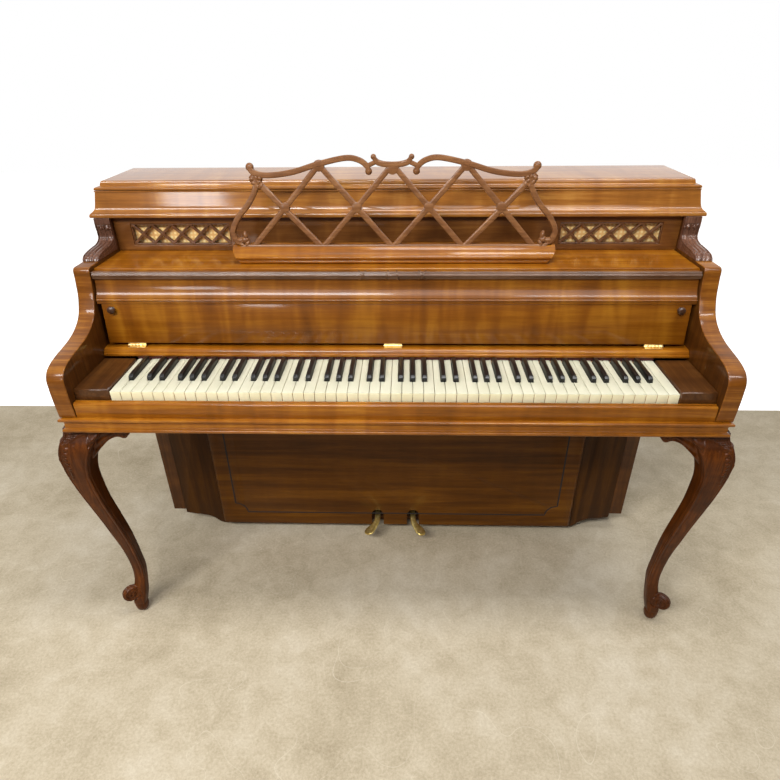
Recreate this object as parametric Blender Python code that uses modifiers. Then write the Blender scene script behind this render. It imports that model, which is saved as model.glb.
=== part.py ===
"""Console piano on cabriole legs, with a fretwork music rack.

Metres, +Z up. The floor is z = 0, the player sits towards -Y and the bass is at -X.
The outlines give depth as the distance behind the front edge of the white keys, and
the origin is on the floor under the middle of the whole instrument.
"""
import math

import bmesh
import bpy
from mathutils import Matrix, Vector

for leftover in list(bpy.data.objects):
    bpy.data.objects.remove(leftover, do_unlink=True)

# Driving dimensions
KEY_FRONT = -0.2641
GAP = 0.0003
CASE_HALF = 0.730
SIDE_THICK = 0.038
INNER_HALF = CASE_HALF - SIDE_THICK
CASE_BACK = 0.548
CASE_FRONT = 0.343
LOWER_FRONT = 0.366
SIDE_TOP = 1.0187
LID_TOP = 1.100

WHITE_COUNT = 52
KEYBOARD_WIDTH = 1.225
KEY_PITCH = KEYBOARD_WIDTH / WHITE_COUNT
KEY_SLOT = 0.001
KEY_TOP = 0.733
KEY_BOTTOM = 0.708
KEY_LENGTH = 0.360
SHARP_HALF = 0.005
SHARP_RISE = 0.012
HEAD_LENGTH = 0.0505
BALANCE_DEPTH = 0.205
FIRST_LIVE_WHITE = 23
LIVE_LETTERS = "cdefgab"

BED_BOTTOM = 0.640
BED_TOP = 0.676
BED_HALF = 0.712
BED_FRONT = -0.010
BED_BACK = 0.372

SHELF_BOTTOM = 0.922
SHELF_TOP = 0.940
ARM_CAP = 0.947

LID_PIVOT_DEPTH = CASE_BACK + 0.0055
LID_PIVOT_HEIGHT = 1.080

HINGE_DEPTH = 0.172
HINGE_HEIGHT = 0.763
FALL_LEAN = math.radians(6.0)
FALL_HALF = 0.6810
NOSE_HALF = 0.6895
FALL_THICK = 0.018
NOSE_START = 0.1013
NOSE_END = 0.176

RACK_DEPTH = 0.262
RACK_FOOT = 0.945
RACK_LEAN = math.radians(6.0)
LATTICE_STEP = 0.1635

PEDAL_OFFSET = 0.057
PEDAL_PIVOT_DEPTH = 0.378
PEDAL_HEIGHT = 0.070
DOWEL_DEPTH = 0.414
DOWEL_BOTTOM = PEDAL_HEIGHT + 0.0048

model = bpy.data.collections.new("console_piano")
cutting = bpy.data.collections.new("console_piano_cutters")
bpy.context.scene.collection.children.link(model)
bpy.context.scene.collection.children.link(cutting)


def material(name, colour, roughness, metallic=0.0):
    made = bpy.data.materials.new(name)
    made.use_nodes = True
    shader = made.node_tree.nodes["Principled BSDF"]
    shader.inputs["Base Color"].default_value = (*colour, 1.0)
    shader.inputs["Roughness"].default_value = roughness
    shader.inputs["Metallic"].default_value = metallic
    return made


WALNUT = material("walnut", (0.19, 0.075, 0.025), 0.28)
DARK_WALNUT = material("dark_walnut", (0.10, 0.038, 0.016), 0.30)
BRASS = material("brass", (0.78, 0.56, 0.22), 0.25, 1.0)
IVORY = material("ivory", (0.86, 0.82, 0.70), 0.25)
EBONY = material("ebony", (0.012, 0.011, 0.010), 0.22)
CLOTH = material("grille_cloth", (0.52, 0.38, 0.17), 0.9)
FELT = material("felt", (0.30, 0.02, 0.02), 0.95)
BRONZE_IRON = material("bronzed_iron", (0.42, 0.28, 0.11), 0.45, 0.6)
SPRUCE = material("spruce", (0.62, 0.42, 0.20), 0.5)
BEECH = material("beech", (0.55, 0.36, 0.18), 0.6)
STEEL = material("steel", (0.5, 0.5, 0.5), 0.35, 1.0)


def behind(depth):
    """World y of a depth measured from the front edge of the white keys."""
    return KEY_FRONT + depth


def add_object(name, mesh, finish, collection=model):
    made = bpy.data.objects.new(name, mesh)
    collection.objects.link(made)
    if finish is not None:
        mesh.materials.clear()
        mesh.materials.append(finish)
    return made


def mesh_from(bm, name):
    bmesh.ops.remove_doubles(bm, verts=bm.verts, dist=1e-6)
    bmesh.ops.recalc_face_normals(bm, faces=bm.faces)
    mesh = bpy.data.meshes.new(name)
    bm.to_mesh(mesh)
    bm.free()
    return mesh


def block(name, x, depth, z, finish, collection=model):
    """Box from its three (low, high) ranges; depth is behind the key fronts."""
    bm = bmesh.new()
    bmesh.ops.create_cube(bm, size=1.0)
    for vert in bm.verts:
        vert.co.x = x[0] + (vert.co.x + 0.5) * (x[1] - x[0])
        vert.co.y = behind(depth[0] + (vert.co.y + 0.5) * (depth[1] - depth[0]))
        vert.co.z = z[0] + (vert.co.z + 0.5) * (z[1] - z[0])
    return add_object(name, mesh_from(bm, name), finish, collection)


# Turns a flat outline's own axes into world axes, for each plane it can lie in
PLANES = {
    "side": Matrix(((0, 0, 1, 0), (1, 0, 0, 0), (0, 1, 0, 0), (0, 0, 0, 1))),
    "front": Matrix(((1, 0, 0, 0), (0, 0, -1, 0), (0, 1, 0, 0), (0, 0, 0, 1))),
    "plan": Matrix.Identity(4),
}


def outline_solid(name, loops, plane, low, high, finish, collection=model, steps=4):
    """Solid between low and high, across the plane, from flat outlines.

    "side" outlines are (depth, z), "front" outlines (x, z) and "plan" outlines (x, depth).
    A third entry marks a point that the outline runs through smoothly.
    """
    flat = bpy.data.curves.new(name, "CURVE")
    flat.dimensions = "2D"
    flat.fill_mode = "BOTH"
    flat.extrude = (high - low) / 2
    flat.resolution_u = steps
    for loop in loops:
        spline = flat.splines.new("BEZIER")
        spline.bezier_points.add(len(loop) - 1)
        for point, spot in zip(spline.bezier_points, loop):
            point.co = (spot[0], spot[1], 0.0)
        for point, spot in zip(spline.bezier_points, loop):
            handle = "AUTO" if len(spot) > 2 else "VECTOR"
            point.handle_left_type = handle
            point.handle_right_type = handle
        spline.use_cyclic_u = True
    curve = bpy.data.objects.new(name + "_outline", flat)
    bpy.context.scene.collection.objects.link(curve)
    bpy.context.view_layer.update()
    evaluated = curve.evaluated_get(bpy.context.evaluated_depsgraph_get())
    bm = bmesh.new()
    bm.from_mesh(bpy.data.meshes.new_from_object(evaluated))
    bpy.data.objects.remove(curve, do_unlink=True)
    middle = (low + high) / 2
    turned = PLANES[plane]
    shift = {
        "side": Vector((middle, KEY_FRONT, 0.0)),
        "front": Vector((0.0, behind(middle), 0.0)),
        "plan": Vector((0.0, KEY_FRONT, middle)),
    }[plane]
    bmesh.ops.transform(bm, matrix=Matrix.Translation(shift) @ turned, verts=bm.verts)
    return add_object(name, mesh_from(bm, name), finish, collection)


def loft(name, rings, finish, collection=model):
    """Closed solid through rings of world points, all with the same number of points."""
    bm = bmesh.new()
    made = [[bm.verts.new(point) for point in ring] for ring in rings]
    for ring, following in zip(made, made[1:]):
        for i in range(len(ring)):
            j = (i + 1) % len(ring)
            bm.faces.new((ring[i], ring[j], following[j], following[i]))
    bm.faces.new(made[0])
    bm.faces.new(made[-1])
    bmesh.ops.recalc_face_normals(bm, faces=bm.faces)
    mesh = bpy.data.meshes.new(name)
    bm.to_mesh(mesh)
    bm.free()
    return add_object(name, mesh, finish, collection)


def cylinder(name, centre, axis, radius, length, finish, collection=model, sides=16):
    bm = bmesh.new()
    bmesh.ops.create_cone(
        bm, cap_ends=True, segments=sides, radius1=radius, radius2=radius, depth=length
    )
    turn = Vector((0, 0, 1)).rotation_difference(Vector(axis)).to_matrix().to_4x4()
    bmesh.ops.transform(bm, matrix=Matrix.Translation(centre) @ turn, verts=bm.verts)
    made = add_object(name, mesh_from(bm, name), finish, collection)
    made.data.shade_smooth()
    made.data.set_sharp_from_angle(angle=math.radians(40))
    return made


def turned(name, profile, x, depth, finish, collection=model, sides=12):
    """Upright turned piece; the profile is (radius, z) down its outer side, top to bottom."""
    bm = bmesh.new()
    verts = [bm.verts.new((radius, 0.0, z)) for radius, z in profile]
    for above, below in zip(verts, verts[1:]):
        bm.edges.new((above, below))
    mesh = bpy.data.meshes.new(name)
    bm.to_mesh(mesh)
    bm.free()
    made = add_object(name, mesh, finish, collection)
    made.location = (x, behind(depth), 0.0)
    screw = made.modifiers.new("turning", "SCREW")
    screw.steps = sides
    screw.render_steps = sides
    screw.use_merge_vertices = True
    screw.merge_threshold = 0.0001
    return made


def boolean(target, tool, operation):
    """Live exact Boolean; the tool stays hidden in the cutters' collection."""
    modifier = target.modifiers.new(tool.name, "BOOLEAN")
    modifier.operation = operation
    modifier.solver = "EXACT"
    modifier.material_mode = "TRANSFER"
    modifier.object = tool
    tool.hide_render = True
    tool.display_type = "WIRE"


def merge_all(name, tools, finish=None, collection=cutting):
    """One object out of several that don't touch each other."""
    bm = bmesh.new()
    for tool in tools:
        bm.from_mesh(tool.data)
        bpy.data.objects.remove(tool, do_unlink=True)
    mesh = bpy.data.meshes.new(name)
    bm.to_mesh(mesh)
    bm.free()
    return add_object(name, mesh, finish, collection)


def round_edges(target, width, segments=2, angle=30.0):
    modifier = target.modifiers.new("edges", "BEVEL")
    modifier.width = width
    modifier.segments = segments
    modifier.limit_method = "ANGLE"
    modifier.angle_limit = math.radians(angle)


def smooth(target, angle=35.0):
    target.data.shade_smooth()
    target.data.set_sharp_from_angle(angle=math.radians(angle))


def mirrored(source, name):
    """The treble side's copy of a bass side piece, with its modifiers' result."""
    bpy.context.view_layer.update()
    evaluated = source.evaluated_get(bpy.context.evaluated_depsgraph_get())
    bm = bmesh.new()
    bm.from_mesh(evaluated.to_mesh())
    for vert in bm.verts:
        vert.co.x = -vert.co.x
    bmesh.ops.reverse_faces(bm, faces=bm.faces)
    mesh = bpy.data.meshes.new(name)
    bm.to_mesh(mesh)
    bm.free()
    evaluated.to_mesh_clear()
    return add_object(name, mesh, source.data.materials[0])


def mitred_frame(name, profile, half_width, front, back, finish):
    """Moulding round the front and both sides, mitred at the two front corners.

    The profile is (out, z), out from the line at half_width and front.
    """
    stations = []
    for side, corner in ((-1, False), (-1, True), (1, True), (1, False)):
        ring = []
        for out, z in profile:
            depth = front - out if corner else back
            ring.append((side * (half_width + out), behind(depth), z))
        stations.append(ring)
    return loft(name, stations, finish)


def stepped_slab(name, steps, half_width, front, back, finish):
    """Slab with a moulded front and ends and a straight back; steps are (inset, z)."""
    rings = []
    for inset, z in steps:
        half = half_width - inset
        rings.append([
            (-half, behind(front + inset), z),
            (half, behind(front + inset), z),
            (half, behind(back), z),
            (-half, behind(back), z),
        ])
    return loft(name, rings, finish)


def arc(centre, radius, start, end, count):
    """Points (a, b) on a circle from start to end degrees."""
    points = []
    for i in range(count + 1):
        angle = math.radians(start + (end - start) * i / count)
        points.append((centre[0] + radius * math.cos(angle), centre[1] + radius * math.sin(angle)))
    return points


def case_sides():
    outline = [
        (CASE_FRONT, SIDE_TOP),
        (CASE_BACK, SIDE_TOP),
        (CASE_BACK, 0.010),
        (0.505, 0.010),
        (0.490, 0.034, 1),
        (0.470, 0.060, 1),
        (0.448, 0.072),
        (LOWER_FRONT, 0.072),
        (LOWER_FRONT, 0.622),
        (0.356, 0.634, 1),
        (CASE_FRONT, BED_BOTTOM),
    ]
    left = outline_solid("case_side_left", [outline], "side", -CASE_HALF, -INNER_HALF, WALNUT)
    round_edges(left, 0.002, 1, 60)
    mirrored(left, "case_side_right")


def arms():
    outline = [
        (-0.020, BED_TOP + GAP),
        (-0.020, 0.768),
        (-0.010, 0.787, 1),
        (0.008, 0.798, 1),
        (0.042, 0.806, 1),
        (0.088, 0.813, 1),
        (0.122, 0.823, 1),
        (0.151, 0.839, 1),
        (0.170, 0.861, 1),
        (0.182, 0.886, 1),
        (0.190, 0.930),
        (0.190, 0.943),
        (0.193, ARM_CAP),
        (CASE_FRONT - GAP, ARM_CAP),
        (CASE_FRONT - GAP, BED_TOP + GAP),
    ]
    left = outline_solid("arm_left", [outline], "side", -CASE_HALF, -INNER_HALF, WALNUT, steps=3)
    round_edges(left, 0.003, 1, 60)
    mirrored(left, "arm_right")


def scroll_brackets():
    back = CASE_FRONT - GAP
    outline = [
        (back, SIDE_TOP),
        (0.333, SIDE_TOP),
        (0.3315, 1.005, 1),
        (0.3335, 0.990, 1),
        (0.3310, 0.977, 1),
        (0.3160, 0.969, 1),
        (0.2890, 0.966, 1),
        (0.2620, 0.963, 1),
        (0.2430, 0.957, 1),
        (0.2360, ARM_CAP + GAP),
        (back, ARM_CAP + GAP),
    ]
    inset = 0.001
    left = outline_solid(
        "scroll_bracket_left", [outline], "side",
        -CASE_HALF + inset, -INNER_HALF - inset, DARK_WALNUT, steps=3,
    )
    flutes = []
    for offset in (-0.009, 0.009):
        flutes.append(cylinder(
            "flute", (-(CASE_HALF + INNER_HALF) / 2 + offset, behind(0.3285), 1.0), (0, 0, 1),
            0.005, 0.046, None, cutting, 6,
        ))
    boolean(left, merge_all("bracket_flutes", flutes), "DIFFERENCE")
    mirrored(left, "scroll_bracket_right")


def top_moulding():
    """Fillet and bead at the foot, then a tall hollow up to the lid."""
    foot, neck, top = 1.0345, 1.0580, 1.0817
    profile = [(-0.022, SIDE_TOP + GAP), (0.014, SIDE_TOP + GAP), (0.014, 1.0255), (0.010, 1.0262)]
    profile += arc((0.0095, 1.0295), 0.0033, -60, 90, 3)
    profile += [(0.0060, 1.0335)]
    for i in range(4):
        z = foot + (neck - foot) * i / 4
        profile.append((0.0065 * ((neck - z) / (neck - foot)) ** 2, z))
    for i in range(4):
        z = neck + (top - neck) * i / 3
        profile.append((0.0015 * ((z - neck) / (top - neck)) ** 2, z))
    profile += [(-0.022, top)]
    made = mitred_frame("top_frieze", profile, 0.721, 0.351, CASE_BACK, WALNUT)
    smooth(made, 30)


def lid():
    under = 1.082
    steps = [
        (0.0, under), (0.0, under + 0.005), (0.002, under + 0.007), (0.009, under + 0.008),
        (0.013, under + 0.010), (0.015, under + 0.014), (0.017, LID_TOP - 0.001), (0.019, LID_TOP),
    ]
    stepped_slab("lid", steps, 0.7225, 0.3495, CASE_BACK + 0.002, WALNUT)


def lid_hinge():
    leaf = block("lid_hinge", (-0.660, 0.660), (CASE_BACK + 0.0003, CASE_BACK + 0.002),
                 (1.050, 1.078), BRASS)
    barrel = cylinder("lid_hinge_barrel", (0.0, behind(LID_PIVOT_DEPTH), LID_PIVOT_HEIGHT),
                      (1, 0, 0), 0.003, 1.320, None, cutting, 10)
    neck = block("lid_hinge_neck", (-0.6595, 0.6595), (CASE_BACK + 0.0005, CASE_BACK + 0.0045),
                 (1.0760, 1.0795), None, cutting)
    boolean(leaf, neck, "UNION")
    boolean(leaf, barrel, "UNION")


def grille_openings():
    """Ranges of x for the two openings, left first, and their range of z."""
    return ((-0.651, -0.404), (0.404, 0.651)), (0.9545, 1.0070)


def upper_panel():
    half = INNER_HALF - GAP
    low = SHELF_TOP + GAP
    loops = [[(-half, low), (half, low), (half, SIDE_TOP), (-half, SIDE_TOP)]]
    spans, (bottom, top) = grille_openings()
    for left, right in spans:
        loops.append([(left, bottom), (right, bottom), (right, top), (left, top)])
    outline_solid("upper_panel", loops, "front", 0.352, 0.366, WALNUT)


def grilles():
    cells = 5
    bar = 0.0064
    rim = 0.0032
    spans, (bottom, top) = grille_openings()
    bottom += GAP
    top -= GAP
    for name, (left, right) in zip(("grille_left", "grille_right"), spans):
        left += GAP
        right -= GAP
        step = (right - left - 2 * rim) / cells
        low = bottom + rim
        high = top - rim
        middle = (low + high) / 2
        slope = (high - low) / step
        reach = bar / 2 * math.hypot(1.0, slope) / slope
        lift = bar / 2 * math.hypot(1.0, slope)
        loops = [[(left, bottom), (right, bottom), (right, top), (left, top)]]
        for i in range(cells):
            start = left + rim + i * step
            centre = start + step / 2
            end = start + step
            for level, side in ((low, 1), (high, -1)):
                loops.append([
                    (start + reach, level), (end - reach, level), (centre, middle - side * lift),
                ])
            if i == 0:
                loops.append([(start, low + lift), (start, high - lift), (centre - reach, middle)])
            else:
                loops.append([
                    (centre - reach, middle), (start, low + lift),
                    (start - step / 2 + reach, middle), (start, high - lift),
                ])
        loops.append([
            (right - rim, low + lift), (right - rim, high - lift),
            (right - rim - step / 2 + reach, middle),
        ])
        outline_solid(name, loops, "front", 0.354, 0.362, DARK_WALNUT)
        block(name.replace("grille", "grille_cloth"), (left - 0.010, right + 0.010),
              (0.3663, 0.3683), (bottom - 0.010, top + 0.0095), CLOTH)


def shelf():
    made = block("music_shelf", (-INNER_HALF + GAP, INNER_HALF - GAP), (0.2085, 0.372),
                 (SHELF_BOTTOM, SHELF_TOP), WALNUT)
    round_edges(made, 0.002, 1, 60)


def rack_point(x, z):
    """World point of the rack's front plane, which leans back."""
    return (x, RACK_DEPTH + (z - RACK_FOOT) * math.tan(RACK_LEAN), z)


def fret(name, path, width, thickness, smooth_path=True):
    """Flat strip of even width along a path of (x, z) in the rack's own plane."""
    strip = bpy.data.curves.new(name, "CURVE")
    strip.dimensions = "2D"
    strip.fill_mode = "NONE"
    strip.extrude = thickness / 2
    strip.resolution_u = 3
    spline = strip.splines.new("BEZIER")
    spline.bezier_points.add(len(path) - 1)
    for point, (x, z) in zip(spline.bezier_points, path):
        point.co = (x, z, 0.0)
    for point in spline.bezier_points:
        point.handle_left_type = "AUTO" if smooth_path else "VECTOR"
        point.handle_right_type = "AUTO" if smooth_path else "VECTOR"
    curve = bpy.data.objects.new(name + "_path", strip)
    bpy.context.scene.collection.objects.link(curve)
    thick = curve.modifiers.new("width", "SOLIDIFY")
    thick.thickness = width
    thick.offset = 0.0
    thick.use_even_offset = True
    bpy.context.view_layer.update()
    evaluated = curve.evaluated_get(bpy.context.evaluated_depsgraph_get())
    bm = bmesh.new()
    bm.from_mesh(bpy.data.meshes.new_from_object(evaluated))
    bpy.data.objects.remove(curve, do_unlink=True)
    return add_object(name, mesh_from(bm, name), None, cutting)


def fret_disc(name, x, z, radius, thickness, sides=10):
    bm = bmesh.new()
    bmesh.ops.create_cone(bm, cap_ends=True, segments=sides, radius1=radius, radius2=radius,
                          depth=thickness)
    bmesh.ops.translate(bm, verts=bm.verts, vec=(x, z, 0.0))
    return add_object(name, mesh_from(bm, name), None, cutting)


def both_sides(x_points):
    return [[(x, z) for x, z in x_points], [(-x, z) for x, z in reversed(x_points)]]


def music_rack():
    """Fret-sawn lattice between S-scrolls, all in one leaning board."""
    bar = 0.0125
    low, middle, high, corner = 0.972, 1.066, 1.153, 1.132
    step = LATTICE_STEP
    rising = []
    falling = []
    for i in range(-2, 2):
        foot = i * step
        cross = foot + step / 2
        if i < 1:
            rising.append([(foot, low), (cross + step / 2, high)])
        else:
            rising.append([(foot, low), (cross + 0.072, corner)])
    for path in rising:
        falling.append([(-x, z) for x, z in path])
    rising_bars = [fret("rising", path, bar, 0.0100, False) for path in rising]
    falling_bars = [fret("falling", path, bar, 0.0096, False) for path in falling]
    rack = merge_all("music_rack", rising_bars, DARK_WALNUT, model)
    tools = [merge_all("rack_falling", falling_bars)]
    rail = fret("rack_rail", [(-0.352, 0.9740), (0.352, 0.9740)], 0.015, 0.0120, False)
    tools.append(rail)
    crest = [
        (0.319, 1.147), (0.310, 1.135), (0.280, 1.129), (0.225, 1.135), (0.164, 1.153),
        (0.104, 1.1655), (0.074, 1.162), (0.057, 1.150), (0.053, 1.139),
    ]
    crests = [fret("crest", path, 0.0135, 0.0116) for path in both_sides(crest)]
    tools.append(merge_all("rack_crests", crests))
    ridge = [(-0.0415, 1.169), (-0.034, 1.158), (-0.018, 1.1535), (0.0, 1.1525),
             (0.018, 1.1535), (0.034, 1.158), (0.0415, 1.169)]
    tools.append(fret("rack_ridge", ridge, 0.0125, 0.0112))
    links = [fret("link", [(side * 0.0375, 1.158), (side * 0.056, 1.150)], 0.010, 0.0108, False)
             for side in (-1, 1)]
    tools.append(merge_all("rack_links", links))
    scroll = [
        (0.306, 1.126), (0.309, 1.105), (0.327, 1.073), (0.356, 1.040), (0.370, 1.012),
        (0.368, 0.990), (0.354, 0.983), (0.341, 0.990), (0.340, 1.000),
    ]
    scrolls = [fret("scroll", path, 0.0125, 0.0110) for path in both_sides(scroll)]
    tools.append(merge_all("rack_scrolls", scrolls))
    knobs = []
    for side in (-1, 1):
        knobs.append(fret_disc("knob", side * 0.3195, 1.1455, 0.0105, 0.0128))
        knobs.append(fret_disc("knob", side * 0.0530, 1.1385, 0.0085, 0.0128))
        knobs.append(fret_disc("knob", side * 0.0420, 1.1680, 0.0062, 0.0128, 8))
        knobs.append(fret_disc("knob", side * 0.3400, 0.9990, 0.0090, 0.0128))
        knobs.append(fret_disc("knob", side * 0.3120, 1.1190, 0.0115, 0.0124))
    tools.append(merge_all("rack_knobs", knobs))
    lean = Matrix.Rotation(math.pi / 2 - RACK_LEAN, 4, "X")
    place = Matrix.Translation((0.0, behind(RACK_DEPTH), RACK_FOOT))
    down = Matrix.Translation((0.0, -RACK_FOOT, 0.0))
    for piece in [rack] + tools:
        piece.data.transform(place @ lean @ down)
    for tool in tools:
        boolean(rack, tool, "UNION")


def rack_ledge():
    bottom = SHELF_TOP + GAP
    steps = [
        (0.0170, bottom), (0.0165, bottom + 0.0027), (0.0100, bottom + 0.0052),
        (0.0040, bottom + 0.0087), (0.0015, bottom + 0.0102), (0.0, bottom + 0.0127),
        (0.0015, bottom + 0.0157), (0.0035, bottom + 0.0165), (0.0035, bottom + 0.0190),
        (0.0080, bottom + 0.0232), (0.0130, bottom + 0.0249),
    ]
    made = stepped_slab("rack_ledge", steps, 0.374, 0.239, 0.283, WALNUT)
    smooth(made, 40)


def fall_point(along, through):
    """(depth, z) on the open fallboard, from its hinge line up and from its face back."""
    return (
        HINGE_DEPTH + along * math.sin(FALL_LEAN) + through * math.cos(FALL_LEAN),
        HINGE_HEIGHT + along * math.cos(FALL_LEAN) - through * math.sin(FALL_LEAN),
    )


def fallboard():
    low, high = 0.005, NOSE_START - GAP
    outline = [fall_point(*spot) for spot in
               ((low, 0.0), (high, 0.0), (high, FALL_THICK), (low, FALL_THICK))]
    outline_solid("fallboard", [outline], "side", -FALL_HALF, FALL_HALF, WALNUT)

    # Fillet, bead, deep hollow, then three reeds round a half-round edge
    spots = [(NOSE_START, 0.0), (NOSE_START + 0.0006, -0.0012), (0.1068, -0.0012)]
    spots += [(along, -through) for along, through in arc((0.1100, 0.0), 0.0030, 160, 15, 4)]
    spots += [(0.1142, -0.0008)]
    for t in (0.0, 0.10, 0.22, 0.36, 0.54, 0.76, 1.0):
        spots.append((0.1155 + 0.0425 * t, -0.0008 + 0.0103 * (1 - (1 - t) ** 3)))
    for turn in (-52, 0, 52):
        lean = math.radians(turn)
        centre = (0.1670 + 0.0072 * math.sin(lean), 0.0095 - 0.0072 * math.cos(lean))
        for spread in (-70, -35, 0, 35, 70):
            angle = math.radians(turn + spread)
            spots.append((centre[0] + 0.0033 * math.sin(angle), centre[1] - 0.0033 * math.cos(angle)))
    spots += [(NOSE_END, 0.0090), (NOSE_END, FALL_THICK - 0.003), (NOSE_END - 0.003, FALL_THICK)]
    spots += [(NOSE_START, FALL_THICK)]
    nose = outline_solid("fallboard_nose", [[fall_point(*spot) for spot in spots]], "side",
                         -NOSE_HALF, NOSE_HALF, WALNUT)
    smooth(nose, 30)


def stop_buttons():
    along = 0.088
    height = 0.0125
    for name, side in (("stop_button_left", -1), ("stop_button_right", 1)):
        depth, z = fall_point(along, -height / 2 - GAP)
        normal = (0.0, -math.cos(FALL_LEAN), math.sin(FALL_LEAN))
        made = cylinder(name, (side * 0.657, behind(depth), z), normal, 0.009, height, EBONY,
                        model, 12)
        round_edges(made, 0.002, 1, 60)


def fallboard_hinges():
    """Butt hinges whose leaves lie under the foot of the board, so only the knuckles show."""
    width = 0.042
    for name, x in (("fallboard_hinge_left", -0.614), ("fallboard_hinge_middle", 0.001),
                    ("fallboard_hinge_right", 0.612)):
        start = x - width / 2
        corners = [fall_point(*spot) for spot in
                   ((0.0026, 0.0005), (0.0046, 0.0005), (0.0046, 0.0165), (0.0026, 0.0165))]
        leaf = outline_solid(name, [corners], "side", start, start + width, BRASS)
        barrel = cylinder(name + "_barrel", (x, behind(HINGE_DEPTH), HINGE_HEIGHT), (1, 0, 0),
                          0.0032, width + 0.001, None, cutting, 12)
        boolean(leaf, barrel, "UNION")


def nameboard():
    outline = [
        (0.1530, 0.7420), (0.1530, 0.7475), (0.1560, 0.7485), (0.1575, 0.7530, 1),
        (0.1615, 0.7572, 1), (0.1680, 0.7592), (0.2000, 0.7592), (0.2000, 0.7420),
    ]
    outline_solid("nameboard_rail", [outline], "side",
                  -INNER_HALF + GAP, INNER_HALF - GAP, WALNUT)
    block("nameboard_felt", (-0.6125, 0.6125), (0.155, 0.162), (0.7345, 0.7417), FELT)


def keybed():
    half = INNER_HALF - GAP
    step = CASE_FRONT - GAP
    outline = [
        (-BED_HALF, BED_FRONT), (BED_HALF, BED_FRONT), (BED_HALF, step), (half, step),
        (half, BED_BACK), (-half, BED_BACK), (-half, step), (-BED_HALF, step),
    ]
    outline_solid("keybed", [outline], "plan", BED_BOTTOM, BED_TOP, WALNUT)


def keybed_moulding():
    out = CASE_HALF - BED_HALF
    # Bead at the foot, deep hollow, thin lip at the top
    profile = [(GAP, BED_BOTTOM), (out - 0.0070, BED_BOTTOM)]
    profile += arc((out - 0.0065, BED_BOTTOM + 0.0052), 0.0050, -75, 80, 4)
    profile += [(out - 0.0074, BED_BOTTOM + 0.0115)]
    profile += arc((out + 0.0005, BED_BOTTOM + 0.0215), 0.0085, 205, 115, 4)
    profile += [(out, BED_TOP - 0.0055), (out, BED_TOP - 0.0012), (out - 0.0012, BED_TOP)]
    profile += [(GAP, BED_TOP)]
    made = mitred_frame("keybed_moulding", profile, BED_HALF, BED_FRONT, CASE_FRONT - GAP, WALNUT)
    smooth(made, 30)


def keyslip():
    top = 0.713
    outline = [(-0.003, BED_TOP + GAP), (-0.003, top), (-0.0085, top), (-0.0085, top - 0.002)]
    outline += [(-0.0098, top - 0.002)]
    outline += arc((-0.0112, top - 0.0063), 0.0058, 75, 180, 4)
    outline += [(-0.017, BED_TOP + GAP)]
    half = INNER_HALF - 0.0015
    made = outline_solid("keyslip", [outline], "side", -half, half, WALNUT)
    smooth(made, 30)


def key_blocks():
    inner = KEYBOARD_WIDTH / 2 + 0.0013
    left = block("key_block_left", (-INNER_HALF + GAP, -inner), (0.0, 0.1515),
                 (BED_TOP + GAP, 0.738), WALNUT)
    round_edges(left, 0.002, 1, 60)
    mirrored(left, "key_block_right")


def sharp_after(white):
    """Sideways shift of the black key that follows this white key, or None."""
    note = (white + 5) % 7
    shifts = {0: -0.0022, 1: 0.0022, 3: -0.0030, 4: 0.0, 5: 0.0030}
    return shifts.get(note) if white < WHITE_COUNT - 1 else None


def sharp_centre(white):
    return -KEYBOARD_WIDTH / 2 + (white + 1) * KEY_PITCH + sharp_after(white)


def white_outline(white):
    """Plan outline of one white key: a wide head, then a tail between the black keys."""
    left = -KEYBOARD_WIDTH / 2 + white * KEY_PITCH + KEY_SLOT / 2
    right = left + KEY_PITCH - KEY_SLOT
    clear = SHARP_HALF + KEY_SLOT
    outline = [(left, 0.0), (right, 0.0)]
    if sharp_after(white) is not None:
        notch = sharp_centre(white) - clear
        outline += [(right, HEAD_LENGTH), (notch, HEAD_LENGTH), (notch, KEY_LENGTH)]
    else:
        outline += [(right, KEY_LENGTH)]
    if white > 0 and sharp_after(white - 1) is not None:
        notch = sharp_centre(white - 1) + clear
        outline += [(notch, KEY_LENGTH), (notch, HEAD_LENGTH), (left, HEAD_LENGTH)]
    else:
        outline += [(left, KEY_LENGTH)]
    return outline


def white_key(name, white, bottom, collection):
    return outline_solid(name, [white_outline(white)], "plan", bottom, KEY_TOP, IVORY, collection)


def black_key(name, white, bottom, collection):
    centre = sharp_centre(white)
    start = HEAD_LENGTH + KEY_SLOT
    outline = [
        (start, bottom), (start, KEY_TOP - 0.002), (start + 0.008, KEY_TOP + SHARP_RISE),
        (0.148, KEY_TOP + SHARP_RISE),
        (0.149, KEY_TOP - 0.004), (KEY_LENGTH, KEY_TOP - 0.004), (KEY_LENGTH, bottom),
    ]
    return outline_solid(name, [outline], "side", centre - SHARP_HALF, centre + SHARP_HALF,
                         EBONY, collection)


def keyboard():
    """One octave of loose keys; the others stand on the balance rail they share."""
    live = range(FIRST_LIVE_WHITE, FIRST_LIVE_WHITE + len(LIVE_LETTERS))
    whites = []
    blacks = []
    seat = KEY_BOTTOM - 0.0010
    for white in range(WHITE_COUNT):
        has_sharp = sharp_after(white) is not None
        if white in live:
            letter = LIVE_LETTERS[white - FIRST_LIVE_WHITE]
            white_key("key_" + letter, white, KEY_BOTTOM, model)
            if has_sharp:
                black_key("key_" + letter + "_sharp", white, KEY_BOTTOM, model)
        else:
            whites.append(white_key("fixed_white", white, seat, cutting))
            if has_sharp:
                blacks.append(black_key("fixed_black", white, seat, cutting))
    return merge_all("fixed_whites", whites, IVORY), merge_all("fixed_blacks", blacks, EBONY)


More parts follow.
